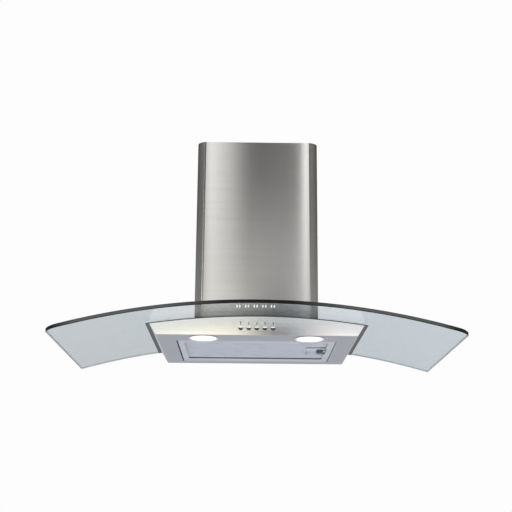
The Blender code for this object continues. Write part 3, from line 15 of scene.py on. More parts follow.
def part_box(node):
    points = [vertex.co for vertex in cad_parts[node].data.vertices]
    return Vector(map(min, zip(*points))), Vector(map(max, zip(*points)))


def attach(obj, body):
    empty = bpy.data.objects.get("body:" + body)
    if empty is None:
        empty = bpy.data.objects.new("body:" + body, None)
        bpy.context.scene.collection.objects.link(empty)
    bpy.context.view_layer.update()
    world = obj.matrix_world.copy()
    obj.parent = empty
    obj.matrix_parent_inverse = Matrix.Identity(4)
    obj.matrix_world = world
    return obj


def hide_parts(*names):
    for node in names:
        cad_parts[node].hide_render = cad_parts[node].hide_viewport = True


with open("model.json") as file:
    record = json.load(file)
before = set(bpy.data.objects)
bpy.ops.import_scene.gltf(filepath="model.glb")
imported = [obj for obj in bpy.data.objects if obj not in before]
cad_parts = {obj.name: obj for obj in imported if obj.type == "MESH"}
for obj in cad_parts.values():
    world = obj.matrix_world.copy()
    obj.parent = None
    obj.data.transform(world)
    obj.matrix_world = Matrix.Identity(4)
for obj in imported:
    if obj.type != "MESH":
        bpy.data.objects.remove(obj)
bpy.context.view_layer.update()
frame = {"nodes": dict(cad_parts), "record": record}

# ---- Sizes, as in the CAD ----

GLASS_LOW, GLASS_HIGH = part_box("glass_canopy")
UNDERSIDE_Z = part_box("body_tray")[0].z
CLEARANCE = 0.0003
GLASS_RADIUS = 1.608  # of the canopy's underside
GLASS_THICKNESS = 0.008
GLASS_ARRIS = 0.0012
GLASS_FRONT_CORNER = 0.024
GLASS_REAR_CORNER = 0.006
GLASS_AXIS_Z = GLASS_HIGH.z - GLASS_RADIUS - GLASS_THICKNESS
PASSAGE_HALF = 0.098
PASSAGE_FRONT_Y = -0.230
PASSAGE_REAR_Y = -0.028
PASSAGE_CORNER = 0.012
BODY_FRONT_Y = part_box("front_fascia")[0].y
BODY_TOP_HALF = 0.2419
BODY_BOTTOM_HALF = 0.2253
SHEET = 0.0012
BUTTON_Z = UNDERSIDE_Z + 0.0165
BUTTON_RADIUS = 0.0052
BUTTON_PITCH = 0.0181
GASKET_THICKNESS = 0.0020
OPENING_HALF, OPENING_FRONT_Y, OPENING_REAR_Y = 0.1840, -0.3045, -0.0335
OPENING_CORNER = 0.0015
LENS_RADIUS = 0.0290
LAMP_HOLE_RADIUS = 0.0318
BEZEL_RIM_REACH = 0.0337  # the bezel's faces past this are its turned-down rim
# Where the painted reflection of the buttons lies on the glass, as pairs of white bars
REFLECTED_CENTRE_X = -0.0040
REFLECTED_PITCH = 0.0185
REFLECTED_SPACING = 0.0060  # between the two bars of a pair
REFLECTED_BAR = 0.0026
REFLECTED_FRONT_Y, REFLECTED_REAR_Y = -0.4820, -0.4580
LAMP_CENTRES = [(side * 0.120, BODY_FRONT_Y + 0.0361) for side in (-1, 1)]
FILTER_LOW, FILTER_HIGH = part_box("filter_mesh")


def arc_z(radius, x):
    """Height of the canopy's cylinder of this radius at x."""
    return GLASS_AXIS_Z + sqrt(radius**2 - x**2)


# ---- Camera, light and floor ----


CAMERA_SENSOR, CAMERA_LENS = 36, 69.147  # millimetres
CAMERA_SHIFT = 0.05
CAMERA_PLACE = (-0.02489, -2.52532, -0.64180)
CAMERA_TURN = (-0.0103, 0.2526, 0.0077)  # yaw, pitch and roll, in radians


def make_camera():
    """A long lens below the hood, looking slightly up at it."""
    data = bpy.data.cameras.new("camera")
    data.sensor_width = CAMERA_SENSOR
    data.lens = CAMERA_LENS
    data.shift_y = CAMERA_SHIFT
    data.clip_end = 100
    yaw, pitch, roll = CAMERA_TURN
    level = Vector((-sin(yaw), cos(yaw), 0))
    side = Vector((cos(yaw), sin(yaw), 0))
    forward = cos(pitch) * level + Vector((0, 0, sin(pitch)))
    above = -sin(pitch) * level + Vector((0, 0, cos(pitch)))
    right = cos(roll) * side + sin(roll) * above
    up = -sin(roll) * side + cos(roll) * above
    turn = Matrix((right, up, -forward)).transposed().to_4x4()
    camera = bpy.data.objects.new("camera", data)
    camera.matrix_world = Matrix.Translation(CAMERA_PLACE) @ turn
    bpy.context.scene.collection.objects.link(camera)
    bpy.context.scene.camera = camera


def node(tree, kind, **settings):
    """A shader node with its properties set; a name such as in_Scale sets that input."""
    made = tree.nodes.new(kind)
    for key, value in settings.items():
        if key.startswith("in_"):
            made.inputs[key[3:].replace("_", " ")].default_value = value
        else:
            setattr(made, key, value)
    return made


def ramp(tree, source, stops):
    """A colour ramp of grey levels or colours at the given positions."""
    made = tree.nodes.new("ShaderNodeValToRGB")
    elements = made.color_ramp.elements
    while len(elements) < len(stops):
        elements.new(0.5)
    for element, (position, level) in zip(elements, stops):
        element.position = position
        colour = level if isinstance(level, tuple) else (level,) * 3
        element.color = (*colour, 1)
    tree.links.new(source, made.inputs["Fac"])
    return made.outputs["Color"]


def math_node(tree, operation, *values):
    """A Math node whose inputs are linked sockets or plain numbers."""
    made = node(tree, "ShaderNodeMath", operation=operation)
    for socket, value in zip(made.inputs, values):
        if isinstance(value, bpy.types.NodeSocket):
            tree.links.new(value, socket)
        else:
            socket.default_value = value
    return made.outputs[0]


def axes(tree, kind="Object"):
    """The X, Y and Z of the shaded point, in the piece's own coordinates unless kind says so."""
    place = tree.nodes.new("ShaderNodeTexCoord")
    parts = tree.nodes.new("ShaderNodeSeparateXYZ")
    tree.links.new(place.outputs[kind], parts.inputs[0])
    return parts.outputs


def scaled(tree, colour, level):
    """A colour made brighter or darker by a level."""
    made = node(tree, "ShaderNodeVectorMath", operation="SCALE")
    tree.links.new(colour, made.inputs[0])
    tree.links.new(level, made.inputs["Scale"])
    return made.outputs[0]


def mixed(tree, kind, first, second):
    """Two colours added or multiplied."""
    made = node(tree, "ShaderNodeMix", data_type="RGBA", blend_type=kind)
    made.inputs["Factor"].default_value = 1
    tree.links.new(first, made.inputs["A"])
    tree.links.new(second, made.inputs["B"])
    return made.outputs["Result"]


# The studio that reflections see: (degrees to the right of straight ahead, brightness)
STUDIO_ROUND = [
    (-180, 0.24), (-100, 0.20), (-60, 0.13), (-24, 0.10), (-11, 0.55), (-5, 1.00),
    (-2.2, 1.00), (0, 0.50), (1.6, 0.34), (3, 0.50), (4.6, 1.00), (8, 0.92), (12, 0.30),
    (24, 0.17), (60, 0.20), (100, 0.20), (180, 0.24),
]
# The same, from straight down (0) to straight up (1)
STUDIO_MIDDLE = [(0.44, 1.0), (0.60, 1.0), (0.625, 0.85), (0.66, 0.35), (0.70, 0.12), (0.90, 0.1)]
STUDIO_CEILING = [(0.70, 0.0), (0.84, 0.75), (1.0, 1.25)]
STUDIO_LOW = [(0.0, 0.8), (0.49, 0.8), (0.56, 0.22), (0.64, 0.0)]
PATCH_ROUND = [(0.0, 1.0), (0.035, 1.0), (0.08, 0.0), (0.92, 0.0), (0.965, 1.0), (1.0, 1.0)]
PATCH_UPWARDS = [(0.30, 0.0), (0.345, 1.0), (0.43, 1.0), (0.48, 0.0)]
PATCH_DEPTH = 0.85
SEEN_WHITE = 0.982


def make_world():
    """A white studio: what is seen straight or through glass is white, and reflections see
    a tall soft light ahead of the hood, dim sides and a bright ceiling."""
    world = bpy.data.worlds.new("studio")
    bpy.context.scene.world = world
    world.use_nodes = True
    tree = world.node_tree
    tree.nodes.clear()
    x, y, z = axes(tree, "Generated")
    angle = math_node(tree, "ARCTAN2", x, math_node(tree, "MULTIPLY", y, -1.0))
    share = math_node(tree, "MULTIPLY_ADD", angle, 1 / (2 * pi), 0.5)
    upwards = math_node(tree, "MULTIPLY_ADD", z, 0.5, 0.5)
    across = ramp(tree, share, [(0.5 + degrees / 360, level) for degrees, level in STUDIO_ROUND])
    middle = ramp(tree, upwards, STUDIO_MIDDLE)
    total = mixed(tree, "MULTIPLY", across, middle)
    for stops in (STUDIO_CEILING, STUDIO_LOW):
        total = mixed(tree, "ADD", total, ramp(tree, upwards, stops))
    # A dark patch low behind the hood, which the underside of the glass mirrors
    behind = ramp(tree, share, PATCH_ROUND)
    below = ramp(tree, upwards, PATCH_UPWARDS)
    patch = math_node(tree, "MULTIPLY", behind, below)
    kept = math_node(tree, "MULTIPLY_ADD", patch, -PATCH_DEPTH, 1)
    studio = tree.nodes.new("ShaderNodeBackground")
    tree.links.new(scaled(tree, total, kept), studio.inputs["Color"])
    white = node(tree, "ShaderNodeBackground", in_Color=(*[SEEN_WHITE] * 3, 1))
    ray = tree.nodes.new("ShaderNodeLightPath")
    seen = math_node(
        tree, "MAXIMUM", ray.outputs["Is Camera Ray"], ray.outputs["Is Transmission Ray"]
    )
    choice = tree.nodes.new("ShaderNodeMixShader")
    tree.links.new(seen, choice.inputs[0])
    tree.links.new(studio.outputs[0], choice.inputs[1])
    tree.links.new(white.outputs[0], choice.inputs[2])
    output = tree.nodes.new("ShaderNodeOutputWorld")
    tree.links.new(choice.outputs[0], output.inputs["Surface"])


def area_light(name, place, target, width, height, energy):
    """A soft rectangular light at a place, turned to a target."""
    data = bpy.data.lights.new(name, "AREA")
    data.shape = "RECTANGLE"
    data.size, data.size_y = width, height
    data.energy = energy
    light = bpy.data.objects.new(name, data)
    light.location = place
    light.rotation_euler = (Vector(target) - Vector(place)).to_track_quat("-Z", "Y").to_euler()
    bpy.context.scene.collection.objects.link(light)


CARD_Y = -1.30
CARD_HALF = 0.50
CARD_LOW, CARD_HIGH = -0.40, 1.20
CARD_BLENDS = [(0.05, 0.09), (0.24, 0.60)]  # heights where one row gives way to the next

# Brightness or colour across the card, at the heights of three things it is mirrored in: (x, level)
CARD_AT_BODY = [
    (-0.50, (0.72, 0.70, 0.65)), (-0.40, (1.14, 1.12, 1.05)), (-0.20, (1.26, 1.23, 1.13)),
    (-0.07, (1.20, 1.15, 1.03)), (-0.02, (0.76, 0.73, 0.62)), (0.01, (0.42, 0.40, 0.33)),
    (0.05, (0.06, 0.06, 0.06)), (0.09, (0.0, 0.0, 0.02)), (0.13, (0.22, 0.22, 0.27)),
    (0.17, (0.50, 0.49, 0.53)), (0.24, (1.04, 1.00, 1.00)), (0.30, (1.36, 1.31, 1.32)),
    (0.42, (1.36, 1.31, 1.32)), (0.50, (0.80, 0.78, 0.78)),
]
CARD_AT_COVER_FOOT = [
    (-0.50, 0.12), (-0.22, 0.18), (-0.190, 0.25), (-0.170, 0.66), (-0.160, 1.05), (-0.147, 1.02),
    (-0.115, 0.84), (-0.083, 0.76), (-0.051, 0.66), (-0.019, 0.58), (0.013, 0.64), (0.077, 0.64),
    (0.109, 0.60), (0.141, 0.62), (0.163, 0.66), (0.174, 0.74), (0.182, 1.70), (0.190, 1.60),
    (0.197, 0.45), (0.24, 0.26), (0.50, 0.20),
]
CARD_AT_COVER_TOP = [
    (-0.50, 0.02), (-0.22, 0.04), (-0.190, 0.20), (-0.174, 0.95), (-0.160, 1.60), (-0.147, 1.18),
    (-0.115, 0.90), (-0.083, 0.68), (-0.051, 0.34), (-0.019, 0.14), (0.013, 0.10), (0.045, 0.10),
    (0.077, 0.13), (0.109, 0.14), (0.141, 0.17), (0.163, 0.20), (0.174, 0.30), (0.183, 2.80),
    (0.192, 2.40), (0.199, 0.30), (0.24, 0.06), (0.50, 0.04),
]


def make_reflection_card():
    """A soft light card ahead of the hood that only its brushed faces reflect: bright bands on
    both sides of a darker middle, which is darkest high up."""
    material = bpy.data.materials.new("reflection_card")
    material.use_nodes = True
    tree = material.node_tree
    tree.nodes.clear()
    parts = axes(tree)
    across = spread(tree, parts["X"], 0, 1, -CARD_HALF, CARD_HALF)
    rows = [
        ramp(tree, across, [(x + CARD_HALF, level) for x, level in row])
        for row in (CARD_AT_BODY, CARD_AT_COVER_FOOT, CARD_AT_COVER_TOP)
    ]
    shade = rows[0]
    for row, (start, end) in zip(rows[1:], CARD_BLENDS):
        mix = node(tree, "ShaderNodeMix", data_type="RGBA")
        tree.links.new(spread(tree, parts["Z"], 0, 1, start, end), mix.inputs["Factor"])
        tree.links.new(shade, mix.inputs["A"])
        tree.links.new(row, mix.inputs["B"])
        shade = mix.outputs["Result"]
    glow = tree.nodes.new("ShaderNodeEmission")
    tree.links.new(shade, glow.inputs["Color"])
    output = tree.nodes.new("ShaderNodeOutputMaterial")
    tree.links.new(glow.outputs[0], output.inputs["Surface"])
    mesh = bpy.data.meshes.new("reflection_card")
    left = [(-CARD_HALF, CARD_Y, CARD_LOW), (-CARD_HALF, CARD_Y, CARD_HIGH)]
    right = [(CARD_HALF, CARD_Y, CARD_HIGH), (CARD_HALF, CARD_Y, CARD_LOW)]
    mesh.from_pydata(left + right, [], [(0, 1, 2, 3)])
    mesh.materials.append(material)
    card = bpy.data.objects.new("reflection_card", mesh)
    for kind in ("camera", "diffuse", "transmission", "volume_scatter", "shadow"):
        setattr(card, f"visible_{kind}", False)
    bpy.context.scene.collection.objects.link(card)


FLOOR_Z = -0.95
FLOOR_HALF = 40


def make_floor():
    """A plain pale floor, well below the hood."""
    mesh = bpy.data.meshes.new("floor")
    bm = bmesh.new()
    bmesh.ops.create_grid(bm, x_segments=8, y_segments=8, size=FLOOR_HALF)
    bmesh.ops.translate(bm, verts=bm.verts, vec=(0, 0, FLOOR_Z))
    bm.to_mesh(mesh)
    bm.free()
    floor = bpy.data.objects.new("floor", mesh)
    bpy.context.scene.collection.objects.link(floor)
    mesh.materials.append(FLOOR_FINISH)
    floor.visible_glossy = False


# ---- Finishes ----


def pattern(tree, kind, scale, detail=2.0, stretch=(1, 1, 1)):
    """A noise or Voronoi factor in the piece's own coordinates, stretched along its axes."""
    place = tree.nodes.new("ShaderNodeTexCoord")
    mapping = tree.nodes.new("ShaderNodeMapping")
    mapping.inputs["Scale"].default_value = stretch
    tree.links.new(place.outputs["Object"], mapping.inputs["Vector"])
    if kind == "cells":
        texture = node(tree, "ShaderNodeTexVoronoi", in_Scale=scale)
        tree.links.new(mapping.outputs[0], texture.inputs["Vector"])
        split = tree.nodes.new("ShaderNodeSeparateColor")
        tree.links.new(texture.outputs["Color"], split.inputs[0])
        return split.outputs[0]
    texture = node(tree, "ShaderNodeTexNoise", in_Scale=scale, in_Detail=detail)
    tree.links.new(mapping.outputs[0], texture.inputs["Vector"])
    return texture.outputs["Fac"]


def spread(tree, source, low, high, start=0.3, end=0.7):
    """The factor from start to end, mapped to low to high."""
    made = tree.nodes.new("ShaderNodeMapRange")
    for name, value in (("From Min", start), ("From Max", end), ("To Min", low), ("To Max", high)):
        made.inputs[name].default_value = value
    tree.links.new(source, made.inputs["Value"])
    return made.outputs[0]


def finish(name, dark, light, rough, metallic, patterns, bump=0.0, **sockets):
    """A Principled material whose colour, roughness and bump vary with the first pattern; a
    second pattern, if given, varies the colour more broadly."""
    made = bpy.data.materials.new(name)
    made.use_nodes = True
    tree = made.node_tree
    shader = tree.nodes["Principled BSDF"]
    shader.inputs["Metallic"].default_value = metallic
    for key, value in sockets.items():
        shader.inputs[key.replace("_", " ")].default_value = value
    factors = [pattern(tree, **settings) for settings in patterns]
    fine = blend = factors[0]
    if len(factors) > 1:
        halves = [math_node(tree, "MULTIPLY", factor, 0.5) for factor in factors]
        blend = math_node(tree, "ADD", *halves)
    colour = ramp(tree, blend, [(0.3, dark), (0.7, light)])
    tree.links.new(colour, shader.inputs["Base Color"])
    tree.links.new(spread(tree, fine, *rough), shader.inputs["Roughness"])
    if bump:
        relief = node(tree, "ShaderNodeBump", in_Strength=0.6, in_Distance=bump)
        tree.links.new(fine, relief.inputs["Height"])
        tree.links.new(relief.outputs[0], shader.inputs["Normal"])
    return made


def brushed(name, dark, light, rough, across, along=5.0, bump=0.00002, grain=0.9, **sockets):
    """Brushed metal: streaks that change quickly along the axis named across, and slowly along
    the others. The highlight stretches along that axis."""
    stretch = [along / 900] * 3
    stretch["XYZ".index(across)] = 1
    broad = [along / 120] * 3
    broad["XYZ".index(across)] = 1
    patterns = [
        dict(kind="noise", scale=900 * grain, detail=3.0, stretch=tuple(stretch)),
        dict(kind="noise", scale=120, detail=3.0, stretch=tuple(broad)),
    ]
    made = finish(name, dark, light, rough, 1.0, patterns, bump, **sockets)
    tree = made.node_tree
    direction = tree.nodes.new("ShaderNodeCombineXYZ")
    direction.inputs[across].default_value = 1
    tree.links.new(direction.outputs[0], tree.nodes["Principled BSDF"].inputs["Tangent"])
    return made


def fine_noise(scale):
    return dict(kind="noise", scale=scale, detail=3.0)


def chimney_steel(name):
    """The covers' steel, brushed along their width."""
    return brushed(
        name, (0.63, 0.618, 0.60), (0.67, 0.658, 0.64), (0.15, 0.18), "Z",
        bump=0.000003, grain=1.6, Anisotropic=1.0,
    )


# Dark and light colour, roughness, metallic, patterns and bump of the plain finishes
PLAIN = {
    "button_steel": (
        (0.80, 0.80, 0.79), (0.88, 0.88, 0.87), (0.14, 0.20), 1.0,
        [fine_noise(1500)], 0.000004,
    ),
    "galvanised_steel": (
        (0.48, 0.50, 0.51), (0.62, 0.64, 0.65), (0.36, 0.50), 1.0,
        [dict(kind="cells", scale=90), fine_noise(40)],
    ),
    "bright_steel": (
        (0.58, 0.58, 0.59), (0.72, 0.72, 0.73), (0.16, 0.28), 1.0,
        [fine_noise(700)], 0.00001,
    ),
    "motor_metal": (
        (0.27, 0.29, 0.31), (0.34, 0.36, 0.38), (0.34, 0.46), 0.6,
        [fine_noise(900), fine_noise(30)], 0.00002,
    ),
    "black_rubber": (
        (0.075, 0.078, 0.082), (0.115, 0.118, 0.124), (0.42, 0.56), 0.0,
        [fine_noise(1100), fine_noise(60)], 0.00003,
    ),
    "reflector": (
        (0.82, 0.82, 0.81), (0.92, 0.92, 0.91), (0.10, 0.20), 1.0,
        [fine_noise(400)], 0.00002,
    ),
    "black_plastic": (
        (0.018, 0.018, 0.020), (0.034, 0.034, 0.037), (0.38, 0.52), 0.0,
        [fine_noise(1600), fine_noise(50)], 0.00002,
    ),
    "white_plastic": (
        (0.70, 0.70, 0.67), (0.78, 0.78, 0.75), (0.34, 0.46), 0.0,
        [fine_noise(1400), fine_noise(40)], 0.00001,
    ),
    "terminal_brass": (
        (0.60, 0.43, 0.18), (0.76, 0.57, 0.28), (0.22, 0.36), 1.0,
        [fine_noise(900), fine_noise(120)], 0.00001,
    ),
    "black_cable": (
        (0.020, 0.020, 0.021), (0.036, 0.036, 0.038), (0.36, 0.48), 0.0,
        [fine_noise(1200)], 0.00001,
    ),
    "white_cable": (
        (0.72, 0.72, 0.69), (0.80, 0.80, 0.77), (0.34, 0.44), 0.0,
        [fine_noise(1200)], 0.00001,
    ),
}
FINISHES = {name: finish(name, *values) for name, values in PLAIN.items()}
FINISHES.update({
    "brushed_steel": chimney_steel("brushed_steel"),
    "filter_aluminium": brushed(
        "filter_aluminium", (0.60, 0.63, 0.69), (0.70, 0.73, 0.80), (0.34, 0.46), "Y",
        along=9.0, Anisotropic=0.5,
    ),
    "damper_aluminium": brushed(
        "damper_aluminium", (0.60, 0.61, 0.63), (0.72, 0.73, 0.75), (0.30, 0.42), "X",
        along=9.0, Anisotropic=0.4,
    ),
})
# A copy of the covers' steel for the lower cover, given painted shade at its foot below
COVER_FINISH = chimney_steel("cover_steel")
FASCIA_FINISH = brushed(
    "fascia_steel", (0.95, 0.94, 0.90), (1.0, 0.99, 0.955), (0.20, 0.24), "Z",
    bump=0.000004, grain=1.6, Anisotropic=0.9,
)
TRAY_FINISH = brushed(
    "tray_steel", (0.51, 0.53, 0.59), (0.57, 0.59, 0.65), (0.30, 0.40), "Y",
    bump=0.00001, Anisotropic=0.5,
)
MESH_FINISH = finish(
    "mesh_aluminium", (0.70, 0.73, 0.81), (0.81, 0.84, 0.92), (0.34, 0.48), 0.85,
    [fine_noise(500), fine_noise(30)], 0.00004,
)
MARK_FINISH = finish(
    "mark_ink", (0.09, 0.09, 0.09), (0.12, 0.12, 0.12), (0.4, 0.5), 0.0, [fine_noise(900)],
    Specular_IOR_Level=0.2,
)
# Painted shade for the lower half of each button cap
BUTTON_SHADE_FINISH = finish(
    "button_painted_shade", (0.075, 0.074, 0.070), (0.105, 0.103, 0.100), (0.22, 0.30), 0.0,
    [fine_noise(700)], Specular_IOR_Level=0.3,
)
# Painted highlight: glowing white for the ridge across each button
BUTTON_RIDGE_HIGHLIGHT_FINISH = finish(
    "button_ridge_painted_highlight", (0.93, 0.93, 0.92), (0.98, 0.98, 0.97), (0.20, 0.30), 0.3, [fine_noise(700)],
    Emission_Strength=0.45,
)
# The bezel is no lamp: its emission is a painted glow
BEZEL_GLOW_FINISH = finish(
    "lamp_bezel", (0.84, 0.84, 0.90), (0.90, 0.90, 0.96), (0.20, 0.30), 0.4, [fine_noise(700)],
    Emission_Strength=0.15,
)
LATCH_FINISH = finish(
    "latch_grey", (0.110, 0.118, 0.124), (0.140, 0.148, 0.155), (0.35, 0.45), 0.0,
    [fine_noise(500)], 0.00002, Specular_IOR_Level=0.3,
)
# Painted shade for the bezel's turned-down rim
BEZEL_RIM_SHADE_FINISH = finish(
    "bezel_rim_painted_shade", (0.30, 0.30, 0.34), (0.36, 0.36, 0.40), (0.30, 0.40), 0.5, [fine_noise(700)],
)
# Near-black painted shade for parts that lie in shadow
PAINTED_SHADE_FINISH = finish(
    "painted_shade_metal", (0.035, 0.036, 0.040), (0.055, 0.056, 0.062), (0.5, 0.6), 0.3,
    [fine_noise(500)], Specular_IOR_Level=0.2,
)
# Glowing white for the painted reflection of the buttons in the glass
BUTTON_REFLECTION_FINISH = finish(
    "button_reflection_glow", (0.93, 0.93, 0.93), (0.97, 0.97, 0.97), (0.5, 0.6), 0.0, [fine_noise(900)],
    Emission_Strength=0.32,
)
FLOOR_FINISH = finish(
    "pale_floor", (0.80, 0.80, 0.80), (0.84, 0.84, 0.84), (0.5, 0.6), 0.0, [fine_noise(3)]
)


def base_colour(material):
    return material.node_tree.nodes["Principled BSDF"].inputs["Base Color"]


def shade_across(material, stops):
    """Colours the material along X, from the canopy's left end (0) to its right end (1), with
    a faint pattern laid over."""
    tree = material.node_tree
    grain = spread(tree, pattern(tree, "noise", 40), 0.985, 1.015)
    share = spread(tree, axes(tree)["X"], 0, 1, GLASS_LOW.x, GLASS_HIGH.x)
    tree.links.new(scaled(tree, ramp(tree, share, stops), grain), base_colour(material))


def shade_foot(material, low_z, high_z, level):
    """Paints shade into a finish's colour below high_z, standing in for the darker look where the steel
    mirrors the tinted glass at its foot.
    """
    tree, socket = material.node_tree, base_colour(material)
    source = socket.links[0].from_socket
    rise = spread(tree, axes(tree)["Z"], level, 1, low_z, high_z)
    tree.links.new(scaled(tree, source, rise), socket)


def tint_across(material, stops):
    """Multiplies a finish's colour by stops along X, from the canopy's left end to its right."""
    tree, socket = material.node_tree, base_colour(material)
    source = socket.links[0].from_socket
    share = spread(tree, axes(tree)["X"], 0, 1, GLASS_LOW.x, GLASS_HIGH.x)
    tinted = node(tree, "ShaderNodeVectorMath", operation="MULTIPLY")
    tree.links.new(source, tinted.inputs[0])
    tree.links.new(ramp(tree, share, stops), tinted.inputs[1])
    tree.links.new(tinted.outputs[0], socket)


COVER_FOOT_LOW, COVER_FOOT_HIGH = -0.128, -0.104
# Painted reflection colour across the fascia's steel: warm on the left, lilac on the right
FASCIA_REFLECTION_TINTS = [
    (0.25, (1.0, 0.99, 0.98)), (0.40, (1.0, 0.985, 0.955)), (0.55, (0.985, 0.97, 0.97)),
    (0.74, (1.0, 0.98, 1.0)),
]
# Painted shade at the foot of the lower cover
shade_foot(COVER_FINISH, COVER_FOOT_LOW, COVER_FOOT_HIGH, 0.56)
tint_across(FASCIA_FINISH, FASCIA_REFLECTION_TINTS)


def make_glass_finishes():
    """Tinted clear glass for the faces, and its polished edge and arrises, painted dark as painted shade;
    the ground rim is pale with a painted glow.
    """
    left, right = (0.590, 0.634, 0.656), (0.601, 0.662, 0.706)
    face = finish(
        "canopy_glass", left, right, (0.0, 0.012), 0.0,
        [fine_noise(14)], Transmission_Weight=1.0, IOR=1.06,
    )
    shade_across(face, [(0.0, left), (1.0, right)])
    edge = finish(
        "glass_edge", (0.012, 0.012, 0.012), (0.09, 0.10, 0.10), (0.12, 0.20), 0.0,
        [fine_noise(60)], IOR=1.5, Specular_IOR_Level=0.12,
    )
    # Painted shade along the front edge: lighter on the wings, darkest in the middle and at the corners
    wing, middle = (0.110, 0.120, 0.120), (0.016, 0.016, 0.015)
    corner = (0.02, 0.02, 0.02)
    half = [(0.0, corner), (0.03, corner), (0.07, wing), (0.28, wing), (0.42, middle)]
    shade_across(edge, half + [(1 - position, level) for position, level in reversed(half)])
    arris = finish(
        # Painted shade for the arrises
        "glass_arris", (0.010, 0.012, 0.013), (0.018, 0.021, 0.022), (0.22, 0.34), 0.0,
        [fine_noise(60)], IOR=1.5, Specular_IOR_Level=0.1,
    )
    # The ground edges are pale; their emission is a painted glow
    rim = finish(
        "glass_rim", (0.58, 0.61, 0.62), (0.62, 0.65, 0.66), (0.35, 0.45), 0.0,
        [fine_noise(60)], Specular_IOR_Level=0.2, Emission_Strength=0.20,
    )
    return [face, edge, arris, rim]


# From the middle of a lens (0) to its rim (1)
LAMP_GLOW = [(0.0, 1.0), (0.70, 1.0), (0.84, (0.74, 0.73, 0.79)), (1.0, (0.50, 0.49, 0.57))]


def make_lamp_finish():
    """Frosted lamp glass, lit from behind: white in the middle of each lens, lilac at its rim."""
    made = finish(
        "lamp_glass", (0.92, 0.92, 0.90), (0.98, 0.98, 0.96), (0.30, 0.42), 0.0,
        [fine_noise(900)], 0.00002, Emission_Strength=0.95,
    )
    tree = made.node_tree
    x, y, _ = axes(tree)
    right, middle_y = LAMP_CENTRES[1]
    aside = math_node(tree, "SUBTRACT", math_node(tree, "ABSOLUTE", x), right)
    along = math_node(tree, "SUBTRACT", y, middle_y)
    squares = [math_node(tree, "POWER", side, 2.0) for side in (aside, along)]
    distance = math_node(tree, "SQRT", math_node(tree, "ADD", *squares))
    reach = spread(tree, distance, 0, 1, 0, LENS_RADIUS)
    glow = ramp(tree, reach, LAMP_GLOW)
    tree.links.new(glow, tree.nodes["Principled BSDF"].inputs["Emission Color"])
    return made


GLASS_FINISHES = make_glass_finishes()
FINISHES["canopy_glass"] = GLASS_FINISHES[0]
FINISHES["lamp_glass"] = make_lamp_finish()

# ---- Modelling helpers ----


# The faces of a bar whose four lower corners come first, then its four upper ones
BAR_FACES = [(0, 1, 2, 3), (7, 6, 5, 4), (0, 4, 5, 1), (1, 5, 6, 2), (2, 6, 7, 3), (3, 7, 4, 0)]


class Shape:
    """Points and faces gathered for one mesh."""

    def __init__(self):
        self.points, self.faces, self.finishes = [], [], []

    def add(self, points, faces, finish_index=0, place=Matrix.Identity(4)):
        base = len(self.points)
        self.points += [place @ Vector(point) for point in points]
        self.faces += [[base + i for i in face] for face in faces]
        self.finishes += [finish_index] * len(faces)
        return self

    def plate(self, loops, low, high, place=Matrix.Identity(4), finish_index=0):
        """A flat plate in plan between two heights; loops after the first are holes."""
        flat = [point for loop in loops for point in loop]
        count = len(flat)
        triangles = tessellate_polygon([[Vector((*p, 0)) for p in loop] for loop in loops])
        faces = [tuple(t) for t in triangles]
        faces += [tuple(i + count for i in t) for t in triangles]
        start = 0
        for loop in loops:
            for i in range(len(loop)):
                a, b = start + i, start + (i + 1) % len(loop)
                faces.append((a, b, b + count, a + count))
            start += len(loop)
        points = [(*p, low) for p in flat] + [(*p, high) for p in flat]
        return self.add(points, faces, finish_index, place)

    def box(self, low, high):
        return self.plate([rectangle(low[0], low[1], high[0], high[1])], low[2], high[2])

    def turned(self, profile, place, segments):
        """A closed or axis-to-axis profile of (radius, height), turned about Z."""
        points, rings, faces = [], [], []
        for radius, height in profile:
            steps = 1 if radius == 0 else segments
            rings.append((len(points), steps))
            for i in range(steps):
                turn = 2 * pi * i / segments
                points.append((radius * cos(turn), radius * sin(turn), height))
        pairs = list(zip(rings, rings[1:]))
        if profile[0][0] and profile[-1][0]:
            pairs.append((rings[-1], rings[0]))
        for (a, a_steps), (b, b_steps) in pairs:
            for i in range(segments):
                j = (i + 1) % segments
                if a_steps == 1:
                    faces.append((a, b + i, b + j))
                elif b_steps == 1:
                    faces.append((a + i, a + j, b))
                else:
                    faces.append((a + i, a + j, b + j, b + i))
        return self.add(points, faces, place=place)

    def mesh(self, name):
        mesh = bpy.data.meshes.new(name)
        mesh.from_pydata(self.points, [], self.faces)
        mesh.polygons.foreach_set("material_index", self.finishes)
        bm = bmesh.new()
        bm.from_mesh(mesh)
        bmesh.ops.recalc_face_normals(bm, faces=bm.faces)
        bm.to_mesh(mesh)
        bm.free()
        return mesh

    def object(self, name):
        obj = bpy.data.objects.new(name, self.mesh(name))
        bpy.context.scene.collection.objects.link(obj)
        return obj


def applied(obj):
    """obj with its modifiers applied to its mesh."""
    bpy.context.view_layer.update()
    graph = bpy.context.evaluated_depsgraph_get()
    mesh = bpy.data.meshes.new_from_object(obj.evaluated_get(graph))
    obj.modifiers.clear()
    obj.data = mesh
    return obj


def carve(obj, *shapes, operation="DIFFERENCE"):
    """Cuts the shapes from obj, or joins them to it."""
    cutters = [shape.object("cutter") for shape in shapes]
    for cutter in cutters:
        modifier = obj.modifiers.new("carve", "BOOLEAN")
        modifier.operation = operation
        modifier.solver = "EXACT"
        modifier.object = cutter
    applied(obj)
    for cutter in cutters:
        bpy.data.objects.remove(cutter, do_unlink=True)
    return obj


def bevelled(obj, width):
    """obj with its sharp edges rounded."""
    modifier = obj.modifiers.new("edges", "BEVEL")
    modifier.width = width
    modifier.segments = 2
    modifier.limit_method = "ANGLE"
    modifier.angle_limit = radians(35)
    return applied(obj)


